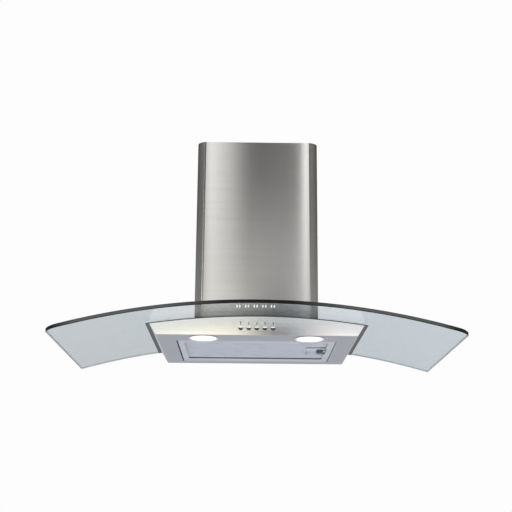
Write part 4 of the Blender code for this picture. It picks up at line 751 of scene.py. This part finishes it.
def complete(obj, body, finishes, replaced=(), sharp=32):
    """Gives a piece its finishes and shading, its body and what it stands for."""
    # Clearing the slots resets each face's index, so the indices are put back after it
    indices = [polygon.material_index for polygon in obj.data.polygons]
    obj.data.materials.clear()
    for one in finishes:
        obj.data.materials.append(one)
    obj.data.polygons.foreach_set("material_index", [min(i, len(finishes) - 1) for i in indices])
    obj.data.shade_smooth()
    obj.data.set_sharp_from_angle(angle=radians(sharp))
    weighted = obj.modifiers.new("normals", "WEIGHTED_NORMAL")
    weighted.keep_sharp = True
    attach(obj, body)
    if replaced:
        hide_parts(*replaced)
    return obj


def fillet(x, y, radius, start_deg, end_deg, steps):
    """Points along an arc about (x, y)."""
    turns = [radians(start_deg + (end_deg - start_deg) * i / steps) for i in range(steps + 1)]
    return [(x + radius * cos(a), y + radius * sin(a)) for a in turns]


def rectangle(x0, y0, x1, y1):
    return [(x0, y0), (x1, y0), (x1, y1), (x0, y1)]


def rounded(x0, y0, x1, y1, radius, steps=6):
    """A rectangle with round corners."""
    return (
        fillet(x0 + radius, y0 + radius, radius, 180, 270, steps)
        + fillet(x1 - radius, y0 + radius, radius, 270, 360, steps)
        + fillet(x1 - radius, y1 - radius, radius, 0, 90, steps)
        + fillet(x0 + radius, y1 - radius, radius, 90, 180, steps)
    )


def circle(x, y, radius, segments):
    turns = [2 * pi * i / segments for i in range(segments)]
    return [(x + radius * cos(a), y + radius * sin(a)) for a in turns]


def face_heights(shape):
    """The mean height of each face gathered so far."""
    return [sum(shape.points[i].z for i in face) / len(face) for face in shape.faces]


def face_reaches(shape, x, y):
    """How far from the upright axis at (x, y) the middle of each face gathered so far lies."""
    reaches = []
    for face in shape.faces:
        points = [shape.points[i] for i in face]
        reaches.append(sum(sqrt((p.x - x) ** 2 + (p.y - y) ** 2) for p in points) / len(face))
    return reaches


# Turns a plate drawn in (x, z) with its thickness along -y into place
UPRIGHT = Matrix(((1, 0, 0, 0), (0, 0, -1, 0), (0, 1, 0, 0), (0, 0, 0, 1)))


def upright_plate(shape, loops, front_y, rear_y, finish_index=0):
    """A plate drawn in X and Z, between two values of Y."""
    return shape.plate(loops, -rear_y, -front_y, UPRIGHT, finish_index)


# ---- Canopy ----


def on_corner(x, middle_x, middle_y, radius, inset, way):
    """The point of a corner arc at plan position x, drawn in by inset."""
    reach = min(1.0, (abs(x) - middle_x) / radius)
    rise = sqrt(max(0.0, 1 - reach**2))
    side = 1 if x > 0 else -1
    return (side * (middle_x + (radius - inset) * reach), middle_y + way * (radius - inset) * rise)


def canopy_edge_point(x, inset, front):
    """Where the canopy's front or rear edge is at x, drawn in by inset."""
    half = GLASS_HIGH.x
    corner = GLASS_FRONT_CORNER if front else GLASS_REAR_CORNER
    way = -1 if front else 1
    edge_y = GLASS_LOW.y if front else GLASS_HIGH.y
    if abs(x) <= half - corner:
        return (x, edge_y - way * inset)
    return on_corner(x, half - corner, edge_y - way * corner, corner, inset, way)


def passage_edge_point(x, inset, front):
    """Where the air passage's front or rear edge is at x; inset makes the passage larger."""
    way = -1 if front else 1
    edge_y = PASSAGE_FRONT_Y if front else PASSAGE_REAR_Y
    straight = PASSAGE_HALF - PASSAGE_CORNER
    if abs(x) <= straight:
        return (x, edge_y + way * inset)
    return on_corner(x, straight, edge_y - way * PASSAGE_CORNER, PASSAGE_CORNER, -inset, way)


def canopy_columns():
    """Where the pane is divided along X: finely at its round corners, evenly between."""
    half = GLASS_HIGH.x
    places = {0.0}
    for corner, steps in ((GLASS_FRONT_CORNER, 14), (GLASS_REAR_CORNER, 8)):
        places |= {half - corner + corner * sin(pi / 2 * i / steps) for i in range(steps + 1)}
    straight = PASSAGE_HALF - PASSAGE_CORNER
    places |= {straight + PASSAGE_CORNER * sin(pi / 2 * i / 6) for i in range(7)}
    places |= {half * i / 64 for i in range(60)}
    ordered = sorted(places)
    kept = [ordered[0]]
    for x in ordered[1:]:
        if x - kept[-1] > 0.00025 or x in (half, PASSAGE_HALF):
            kept.append(x)
    return [-x for x in reversed(kept[1:])] + kept


def canopy_pane():
    """The bent pane with its rounded corners, air passage, polished edge and arrises."""
    columns = canopy_columns()
    in_passage = [abs(x) <= PASSAGE_HALF + 1e-9 for x in columns]
    layers = [
        (GLASS_ARRIS, GLASS_RADIUS, 0.0),
        (0.0, GLASS_RADIUS, GLASS_ARRIS),
        (0.0, GLASS_RADIUS + GLASS_THICKNESS, -GLASS_ARRIS),
        (GLASS_ARRIS, GLASS_RADIUS + GLASS_THICKNESS, 0.0),
    ]
    points, index = [], {}
    for layer, (inset, radius, lift) in enumerate(layers):
        for i, x in enumerate(columns):
            found = {
                "front": canopy_edge_point(x, inset, True),
                "rear": canopy_edge_point(x, inset, False),
            }
            if in_passage[i]:
                found["near"] = passage_edge_point(x, inset, True)
                found["far"] = passage_edge_point(x, inset, False)
            for key, (px, py) in found.items():
                index[layer, i, key] = len(points)
                points.append((px, py, arc_z(radius, px) + lift))
    faces, finishes = [], []
    for layer in (0, 3):
        for i in range(len(columns) - 1):
            j = i + 1
            if in_passage[i] and in_passage[j]:
                rows = [
                    [(i, "front"), (j, "front"), (j, "near"), (i, "near")],
                    [(i, "far"), (j, "far"), (j, "rear"), (i, "rear")],
                ]
            else:
                row = [(i, "front"), (j, "front")]
                row += [(j, "near"), (j, "far")] if in_passage[j] else []
                row += [(j, "rear"), (i, "rear")]
                row += [(i, "far"), (i, "near")] if in_passage[i] else []
                rows = [row]
            for row in rows:
                faces.append([index[layer, k, key] for k, key in row])
                finishes.append(0)
    count = range(len(columns))
    inside = [i for i in count if in_passage[i]]
    outer = [(i, "front") for i in count] + [(i, "rear") for i in reversed(count)]
    inner = [(i, "near") for i in inside] + [(i, "far") for i in reversed(inside)]
    for loop in (outer, inner):
        for (i, a), (j, b) in zip(loop, loop[1:] + loop[:1]):
            # Only the front edge gets the painted shade; the other edges are ground pale, with a painted
            # glow
            in_front = a == b == "front"
            for layer, finish_index in enumerate((2, 1, 2) if in_front else (3, 3, 3)):
                faces.append(
                    [index[layer, i, a], index[layer, j, b], index[layer + 1, j, b], index[layer + 1, i, a]]
                )
                finishes.append(finish_index)
    shape = Shape()
    shape.points = [Vector(point) for point in points]
    shape.faces, shape.finishes = faces, finishes
    pane = shape.object("canopy_pane")
    complete(pane, "hood", GLASS_FINISHES, ["glass_canopy"])


def painted_button_reflections():
    """Painted reflection of the buttons in the canopy's underside: a pair of short glowing white bars for
    each button, laid just under the glass.
    """
    shape = Shape()
    for index in range(5):
        middle = REFLECTED_CENTRE_X + (index - 2) * REFLECTED_PITCH
        for side in (-1, 1):
            ends = [middle + side * REFLECTED_SPACING / 2 + way * REFLECTED_BAR / 2 for way in (-1, 1)]
            corners = [(ends[0], REFLECTED_FRONT_Y), (ends[1], REFLECTED_FRONT_Y)]
            corners += [(ends[1], REFLECTED_REAR_Y), (ends[0], REFLECTED_REAR_Y)]
            points = [(x, y, arc_z(GLASS_RADIUS, x) - 0.00012) for x, y in corners]
            points += [(x, y, arc_z(GLASS_RADIUS, x) - 0.00002) for x, y in corners]
            shape.add(points, BAR_FACES)
    legend = shape.object("painted_button_reflections")
    complete(legend, "hood", [BUTTON_REFLECTION_FINISH])


# ---- Body ----


def body_half(height):
    """Half-width of the body at a height above its underside."""
    top_height = arc_z(GLASS_RADIUS, BODY_TOP_HALF) - UNDERSIDE_Z
    return BODY_BOTTOM_HALF + (BODY_TOP_HALF - BODY_BOTTOM_HALF) / top_height * height


def body_outline(inset, floor_z, radius, round_foot=0.0, steps=48):
    """Cross-section of the body: flat bottom, sloping sides and arched top."""
    x = BODY_TOP_HALF - inset
    for _ in range(6):
        x = body_half(arc_z(radius, x) - UNDERSIDE_Z) - inset
    foot = body_half(floor_z - UNDERSIDE_Z) - inset
    top = [(x - 2 * x * i / steps, arc_z(radius, x - 2 * x * i / steps)) for i in range(steps + 1)]
    if not round_foot:
        return [(-foot, floor_z), (foot, floor_z)] + top
    lean = atan2(BODY_TOP_HALF - BODY_BOTTOM_HALF, arc_z(GLASS_RADIUS, BODY_TOP_HALF) - UNDERSIDE_Z)
    lean_deg = lean * 180 / pi
    # The bend's centre lies one radius above the floor and one radius inside the side
    middle_x = body_half(round_foot) - inset - round_foot / cos(lean)
    middle_z = floor_z + round_foot
    right = fillet(middle_x, middle_z, round_foot, -90, -lean_deg, 6)
    return [(-px, pz) for px, pz in reversed(right)] + right + top


def fascia_panel():
    """The arched front panel with its button holes."""
    gasket_low_radius = GLASS_RADIUS - 2 * CLEARANCE - GASKET_THICKNESS
    outline = body_outline(0, UNDERSIDE_Z, gasket_low_radius)
    holes = [circle(i * BUTTON_PITCH, BUTTON_Z, BUTTON_RADIUS + 0.0004, 40) for i in range(-2, 3)]
    shape = upright_plate(Shape(), [outline] + holes, BODY_FRONT_Y, BODY_FRONT_Y + 0.0015)
    panel = bevelled(shape.object("fascia_panel"), 0.00035)
    complete(panel, "hood", [FASCIA_FINISH], ["front_fascia"])


def button_marks():
    """A plain sign printed over each button: a short line, with a ring over the first."""
    shape = Shape()
    front, rear = BODY_FRONT_Y - 0.00008, BODY_FRONT_Y + 0.00002
    foot, top = BUTTON_Z + 0.0062, BUTTON_Z + 0.0134
    half = 0.00075
    for index in range(5):
        x = (index - 2) * BUTTON_PITCH
        upright_plate(shape, [rectangle(x - half, foot, x + half, top)], front, rear)
        if index == 0:
            ring = [circle(x, top - 0.0008, 0.0021, 24), circle(x, top - 0.0008, 0.0014, 24)]
            upright_plate(shape, ring, front - 0.00002, rear)
    marks = shape.object("button_marks")
    complete(marks, "hood", [MARK_FINISH])


def body_shell():
    """The pressed tray: rounded folds, filter opening, lamp holes and the switch window."""
    front_y, rear_y = BODY_FRONT_Y + 0.0018, -0.001
    top_radius = GLASS_RADIUS - 3 * CLEARANCE - GASKET_THICKNESS - SHEET
    outline = body_outline(0, UNDERSIDE_Z, top_radius, 0.0022)
    shell = upright_plate(Shape(), [outline], front_y, rear_y).object("body_shell")
    hollow = upright_plate(
        Shape(),
        [body_outline(SHEET, UNDERSIDE_Z + SHEET, top_radius + 0.02, 0.0012)],
        front_y + SHEET,
        rear_y - SHEET,
    )
    low, high = UNDERSIDE_Z - 0.004, UNDERSIDE_Z + 0.004
    corners = (-OPENING_HALF, OPENING_FRONT_Y, OPENING_HALF, OPENING_REAR_Y)
    opening = Shape().plate([rounded(*corners, OPENING_CORNER)], low, high)
    holes = Shape()
    for x, y in LAMP_CENTRES:
        holes.plate([circle(x, y, LAMP_HOLE_RADIUS, 64)], low, high)
    half, rise = 2 * BUTTON_PITCH + 0.0113, 0.0103
    window = Shape().box(
        (-half, front_y - 0.001, BUTTON_Z - rise), (half, front_y + SHEET + 0.001, BUTTON_Z + rise)
    )
    carve(shell, hollow, opening, holes, window)
    complete(shell, "hood", [TRAY_FINISH], ["body_tray"])


def lamp_lens_and_bezel():
    """Each lamp's turned bezel and its slightly stepped frosted lens."""
    for name, (x, y) in zip(("left", "right"), LAMP_CENTRES):
        place = Matrix.Translation((x, y, UNDERSIDE_Z))
        ring = [(0.0340, -0.0003)]
        ring += [(0.0334 + 0.0006 * cos(a), -0.0009 - 0.0009 * sin(a)) for a in (0.0, 0.4, 0.8, 1.2)]
        ring += [(0.0329, -0.0020), (0.0316, -0.0020), (0.0310, -0.0018), (0.0305, -0.0012)]
        ring += [(0.0303, -0.0007), (0.0303, -0.0003)]
        shape = Shape().turned(ring, place, 72)
        # The turned-down rim gets the painted shade
        shape.finishes = [1 if reach > BEZEL_RIM_REACH else 0 for reach in face_reaches(shape, x, y)]
        bezel = shape.object(f"lamp_ring_{name}")
        finishes = [BEZEL_GLOW_FINISH, BEZEL_RIM_SHADE_FINISH]
        complete(bezel, "hood", finishes, [f"lamp_bezel_{name}"])
        lens = [(0, 0.00125), (LENS_RADIUS, 0.00125), (LENS_RADIUS, -0.00100)]
        for i in range(12, 0, -1):
            radius = (LENS_RADIUS - 0.0010) * i / 12
            lens.append((radius, -0.00110 - 0.00060 * (1 - (i / 12) ** 2)))
            lens.append((radius - 0.0010, -0.00095 - 0.00060 * (1 - (i / 12) ** 2)))
        lens.append((0, -0.00175))
        glass = Shape().turned(lens, place, 64).object(f"lamp_glass_{name}")
        finishes = [FINISHES["lamp_glass"]]
        complete(glass, "hood", finishes, [f"lamp_lens_{name}"], sharp=60)


def half_disc(x, radius, way, gap, steps=20):
    """The half of a disc above (way 1) or below (way -1) a level ridge."""
    start = atan2(gap, sqrt(radius**2 - gap**2))
    turns = [start + (pi - 2 * start) * i / steps for i in range(steps + 1)]
    return [(x + radius * cos(a), BUTTON_Z + way * radius * sin(a)) for a in turns]


def buttons():
    """Round push buttons: a bright half above and a half below a raised ridge; the lower half is painted
    dark as painted shade, and the ridge carries a painted highlight.
    """
    for index in range(5):
        low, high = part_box(f"button_{index + 1}")
        x = (low.x + high.x) / 2
        place = Matrix.Translation((x, low.y, BUTTON_Z)) @ Matrix.Rotation(-pi / 2, 4, "X")
        profile = [(0, high.y - low.y), (0.0018, high.y - low.y), (0.0018, 0.0085), (0.0050, 0.0085)]
        profile += [(BUTTON_RADIUS, 0.0083), (BUTTON_RADIUS, 0.0018)]
        for a in (0.5, 1.0, 1.57):
            profile.append((BUTTON_RADIUS - 0.0007 * (1 - cos(a)), 0.0018 - 0.0006 * sin(a)))
        profile.append((0, 0.0012))
        shape = Shape().turned(profile, place, 48)
        # Faces below the button's middle get the painted shade
        shape.finishes = [0 if z > BUTTON_Z - 0.0002 else 1 for z in face_heights(shape)]
        upright_plate(shape, [half_disc(x, 0.0044, 1, 0.0005)], low.y + 0.0005, low.y + 0.0014)
        # The lower half disc, in painted shade
        upright_plate(shape, [half_disc(x, 0.0044, -1, 0.0005)], low.y + 0.0008, low.y + 0.0014, 1)
        # The raised ridge, which carries the painted highlight
        ridge = rounded(x - 0.0048, BUTTON_Z - 0.0004, x + 0.0048, BUTTON_Z + 0.0012, 0.0006, 3)
        upright_plate(shape, [ridge], low.y, low.y + 0.0014, 2)
        cap = shape.object(f"button_cap_{index + 1}")
        finishes = [FASCIA_FINISH, BUTTON_SHADE_FINISH, BUTTON_RIDGE_HIGHLIGHT_FINISH]
        button = f"button_{index + 1}"
        complete(cap, button, finishes, [button], sharp=50)


# ---- Grease filter ----

FRAME_X, FRAME_FRONT_Y, FRAME_REAR_Y = 0.1810, -0.3035, -0.0345
FIELD_X, FIELD_FRONT_Y, FIELD_REAR_Y = 0.1665, -0.2845, -0.0690
FRAME_TOP_Z = UNDERSIDE_Z + 0.0090
PULL_LOW, PULL_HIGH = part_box("filter_pull")
LATCH_LOW, LATCH_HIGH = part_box("filter_latch")
LATCH_Y = (LATCH_LOW.y + LATCH_HIGH.y) / 2
PULL_FRONT_GAP = 0.0060
REAR_GROOVE = 0.0090  # between the mesh and the frame's rear edge


def tongue_slot():
    """The slot that the latch's tongue slides in."""
    return Shape().box(
        (PULL_HIGH.x - 0.002, LATCH_Y - 0.0054, UNDERSIDE_Z + 0.0041),
        (0.194, LATCH_Y + 0.0054, UNDERSIDE_Z + 0.0069),
    )


def filter_surround():
    """The filter's folded frame, with mitred corners, hinge tabs and a rolled inner edge."""
    low, high = UNDERSIDE_Z, FRAME_TOP_Z
    frame_obj = Shape().plate(
        [rounded(-FRAME_X, FRAME_FRONT_Y, FRAME_X, FRAME_REAR_Y, 0.0015, 3)], low, high
    ).object("filter_surround")
    window = Shape().plate(
        [rounded(-FIELD_X, FIELD_FRONT_Y, FIELD_X, FIELD_REAR_Y, 0.0030, 4)], low - 0.001, high + 0.001
    )
    margin = 0.0040
    pocket = Shape().box(
        (-FIELD_X - margin, FIELD_FRONT_Y - margin, low + 0.0010),
        (FIELD_X + margin, FIELD_REAR_Y + margin, high + 0.001),
    )
    grow = CLEARANCE
    pull_space = Shape().box(
        (PULL_LOW.x - grow, PULL_LOW.y - grow, low - 0.001),
        (PULL_HIGH.x + grow, PULL_HIGH.y + grow, high + 0.001),
    )
    carve(frame_obj, window, pocket, pull_space, tongue_slot())
    bevelled(frame_obj, 0.0004)
    mitres = Shape()
    for side in (-1, 1):
        for outer_y, inner_y in ((FRAME_FRONT_Y, FIELD_FRONT_Y), (FRAME_REAR_Y, FIELD_REAR_Y)):
            start = Vector((side * FRAME_X, outer_y, low))
            end = Vector((side * FIELD_X, inner_y, low))
            run = (end - start).normalized()
            wide = Vector((-run.y, run.x, 0)) * 0.00018
            first, last = start - run * 0.002, end + run * 0.0012
            corners = [first - wide, last - wide, last + wide, first + wide]
            mitres.plate([[(c.x, c.y) for c in corners]], low - 0.001, low + 0.00022)
    carve(frame_obj, mitres)
    tabs = Shape()
    middle_y = (FRAME_FRONT_Y + FRAME_REAR_Y) / 2
    for side in (-1, 1):
        y = middle_y + side * 0.075
        tab = rounded(-0.1895, y - 0.015, -FRAME_X + 0.002, y + 0.015, 0.0012, 2)
        tabs.plate([tab], low + 0.0015, low + 0.0030)
    ledge = Shape().box(
        (FRAME_X - 0.002, FRAME_FRONT_Y + 0.004, low + 0.0008),
        (FRAME_X + 0.0017, FRAME_REAR_Y - 0.004, low + 0.0020),
    )
    carve(frame_obj, tabs, ledge, operation="UNION")
    finishes = [FINISHES["filter_aluminium"], PAINTED_SHADE_FINISH]
    complete(frame_obj, "filter", finishes, ["filter_frame"])
    # The tabs get painted shade, for the shadow of the seam
    for polygon in frame_obj.data.polygons:
        polygon.material_index = 1 if polygon.center.x < -FRAME_X - 0.0001 else 0


def filter_lattice():
    """The expanded-metal face of the filter, over its packed inner layers."""
    shape = Shape()
    across, along = 0.0084, 0.0046  # a diamond's long and short way
    z = FILTER_LOW.z + 0.0006
    strand = 0.00042
    lift = 0.00030
    x0, x1 = FILTER_LOW.x + 0.0012, FILTER_HIGH.x - 0.0012
    y0, y1 = FILTER_LOW.y + 0.0012, FIELD_REAR_Y - REAR_GROOVE
    nodes_x = int((x1 - x0) / (across / 2))
    nodes_y = int((y1 - y0) / (along / 2))
    x_start = (x0 + x1 - nodes_x * across / 2) / 2
    y_start = (y0 + y1 - nodes_y * along / 2) / 2
    pull_x, pull_y0, pull_y1 = PULL_LOW.x - 0.001, PULL_LOW.y - PULL_FRONT_GAP, PULL_HIGH.y + 0.001
    for i in range(nodes_x):
        for j in range(nodes_y):
            rising = (i + j) % 2 == 0
            j_a, j_b = (j, j + 1) if rising else (j + 1, j)
            a = Vector((x_start + i * across / 2, y_start + j_a * along / 2, z))
            b = Vector((x_start + (i + 1) * across / 2, y_start + j_b * along / 2, z))
            if b.x > pull_x and pull_y0 < max(a.y, b.y) and min(a.y, b.y) < pull_y1:
                continue
            tilt = lift if rising else -lift
            wide = Vector((0, strand, 0))
            deep = Vector((0, 0, 0.00025))
            up_a, up_b = Vector((0, 0, -tilt)), Vector((0, 0, tilt))
            p = [a - wide + up_a, b - wide + up_b, b + wide + up_b, a + wide + up_a]
            q = [c + deep for c in p]
            shape.add(p + q, BAR_FACES)
    low_z, high_z = FILTER_LOW.z + 0.0012, FILTER_HIGH.z
    notch = [
        (FILTER_LOW.x, FILTER_LOW.y),
        (FILTER_HIGH.x, FILTER_LOW.y),
        (FILTER_HIGH.x, PULL_LOW.y - PULL_FRONT_GAP),
        (PULL_LOW.x - CLEARANCE, PULL_LOW.y - PULL_FRONT_GAP),
        (PULL_LOW.x - CLEARANCE, PULL_HIGH.y + CLEARANCE),
        (FILTER_HIGH.x, PULL_HIGH.y + CLEARANCE),
        (FILTER_HIGH.x, FILTER_HIGH.y),
        (FILTER_LOW.x, FILTER_HIGH.y),
    ]
    shape.plate([notch], low_z, high_z)
    # A dark strip in the groove behind the mesh: painted shade
    painted_shade_strip = rectangle(x0, y1, x1, FILTER_HIGH.y - 0.0012)
    shape.plate([painted_shade_strip], low_z - 0.0003, low_z + 0.0002, finish_index=1)
    lattice = shape.object("filter_lattice")
    complete(lattice, "filter", [MESH_FINISH, PAINTED_SHADE_FINISH], ["filter_mesh"])


def filter_handle():
    """The finger recess, a shallow pressed pan with rounded corners and a turned-out rim."""
    low, high = PULL_LOW, PULL_HIGH
    outline = rounded(low.x, low.y, high.x, high.y, 0.0020, 3)
    pan = Shape().plate([outline], low.z, high.z).object("filter_handle")
    wall = 0.0010
    recess = Shape().plate(
        [rounded(low.x + wall, low.y + wall, high.x - wall, high.y - wall, 0.0050, 6)],
        low.z - 0.001,
        high.z - wall,
    )
    carve(pan, recess, tongue_slot())
    bevelled(pan, 0.0003)
    complete(pan, "filter", [FINISHES["filter_aluminium"]], ["filter_pull"])


def latch_slider():
    """The sliding latch: a ribbed thumb pad and its tongue."""
    pad_right = PULL_HIGH.x - 0.0010 - 0.0050
    low_z, high_z = LATCH_LOW.z, LATCH_HIGH.z
    pad = Shape().plate(
        [rounded(LATCH_LOW.x, LATCH_LOW.y, pad_right, LATCH_HIGH.y, 0.0030, 5)], low_z + 0.0008, high_z
    ).object("latch_slider")
    ribs = Shape()
    for i in range(5):
        x = LATCH_LOW.x + 0.0028 + i * 0.0022
        rib = rounded(x, LATCH_LOW.y + 0.002, x + 0.0010, LATCH_HIGH.y - 0.002, 0.00045, 3)
        ribs.plate([rib], low_z, low_z + 0.0012)
    tongue = Shape().box(
        (pad_right - 0.003, LATCH_Y - 0.005, UNDERSIDE_Z + 0.0045),
        (LATCH_HIGH.x, LATCH_Y + 0.005, UNDERSIDE_Z + 0.0065),
    )
    carve(pad, tongue, ribs, operation="UNION")
    finishes = [LATCH_FINISH, FINISHES["filter_aluminium"]]
    complete(pad, "latch", finishes, ["filter_latch"])
    # The tongue is metal
    for polygon in pad.data.polygons:
        polygon.material_index = 1 if polygon.center.x > pad_right + 0.0002 else 0


# ---- Chimney covers ----


COVER_CORNER, COVER_BEND, COVER_FLANGE = 0.021, 0.003, 0.018
COVER_SHEET = 0.0010
VENT_Y, VENT_HALF = -0.131, 0.017  # the slots' middle, and half their length
VENT_ROWS, VENT_PITCH, VENT_HEIGHT = 6, 0.009, 0.004
VENT_DROP = 0.030  # from the cover's top to the first slot


def cover(name, cad_node, body, inset, vents):
    """A folded cover in plan round the front, with rear flanges and, if asked, side vents."""
    low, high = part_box(cad_node)
    half, front, rear = high.x, low.y, high.y
    corner, bend = COVER_CORNER - inset, COVER_BEND
    vent = [(half, VENT_Y + VENT_HALF), (half, VENT_Y - VENT_HALF)] if vents else []
    right = (
        [(half - COVER_FLANGE, rear)]
        + fillet(half - bend, rear - bend, bend, 90, 0, 4)
        + vent
        + fillet(half - corner, front + corner, corner, 0, -90, 20)
    )
    path = right + [(-x, y) for x, y in reversed(right)]
    rows = [high.z]
    if vents:
        for i in range(VENT_ROWS):
            top = high.z - VENT_DROP - i * VENT_PITCH
            rows += [top, top - VENT_HEIGHT]
    rows.append(low.z)
    points = []
    for z in rows[:-1]:
        points += [(x, y, z) for x, y in path]
    if vents:
        points += [(x, y, low.z) for x, y in path]
    else:
        radius = GLASS_RADIUS + GLASS_THICKNESS + CLEARANCE
        points += [(x, y, arc_z(radius, x)) for x, y in path]
    faces = []
    count = len(path)
    for row in range(len(rows) - 1):
        for i in range(count - 1):
            (xa, ya), (_, yb) = path[i], path[i + 1]
            in_slot = abs(xa) == half and max(abs(ya - VENT_Y), abs(yb - VENT_Y)) < VENT_HALF + 0.0001
            if vents and in_slot and row % 2 == 1 and row < 2 * VENT_ROWS:
                continue
            a = row * count + i
            faces.append((a, a + 1, a + 1 + count, a + count))
    obj = Shape().add(points, faces).object(name)
    solid = obj.modifiers.new("sheet", "SOLIDIFY")
    solid.thickness = COVER_SHEET
    solid.use_even_offset = True
    # The skin's normals may face either way, so the side to thicken is read from the front face
    front_face = next(p for p in obj.data.polygons if abs(p.center.y - front) < 1e-6)
    solid.offset = -1 if front_face.normal.y < 0 else 1
    applied(obj)
    steel = FINISHES["brushed_steel"] if vents else COVER_FINISH
    complete(obj, body, [steel], [cad_node])


# ---- Putting it together ----


def dress_cad_nodes():
    """Every CAD node that stays takes its slot's finish."""
    slots = {row["node"]: row["material_slot"] for row in frame["record"]["subparts"]}
    for name, obj in frame["nodes"].items():
        finish_of = FINISHES[slots[name]]
        if obj.material_slots:
            for slot in obj.material_slots:
                slot.material = finish_of
        else:
            obj.data.materials.append(finish_of)


make_camera()
make_world()
make_floor()
make_reflection_card()
area_light("overhead", (0.0, -0.6, 2.4), (0, -0.2, 0), 2.6, 1.8, 30)
area_light("front_fill", (-1.2, -3.6, -0.2), (0, -0.3, 0.0), 1.2, 1.6, 12)

dress_cad_nodes()
canopy_pane()
painted_button_reflections()
fascia_panel()
button_marks()
body_shell()
lamp_lens_and_bezel()
buttons()
filter_surround()
filter_lattice()
filter_handle()
latch_slider()
cover("cover_lower", "chimney_lower", "hood", 0.0, False)
cover("cover_upper", "chimney_upper", "upper_cover", 0.0025, True)

bpy.context.scene.view_settings.view_transform = "Standard"
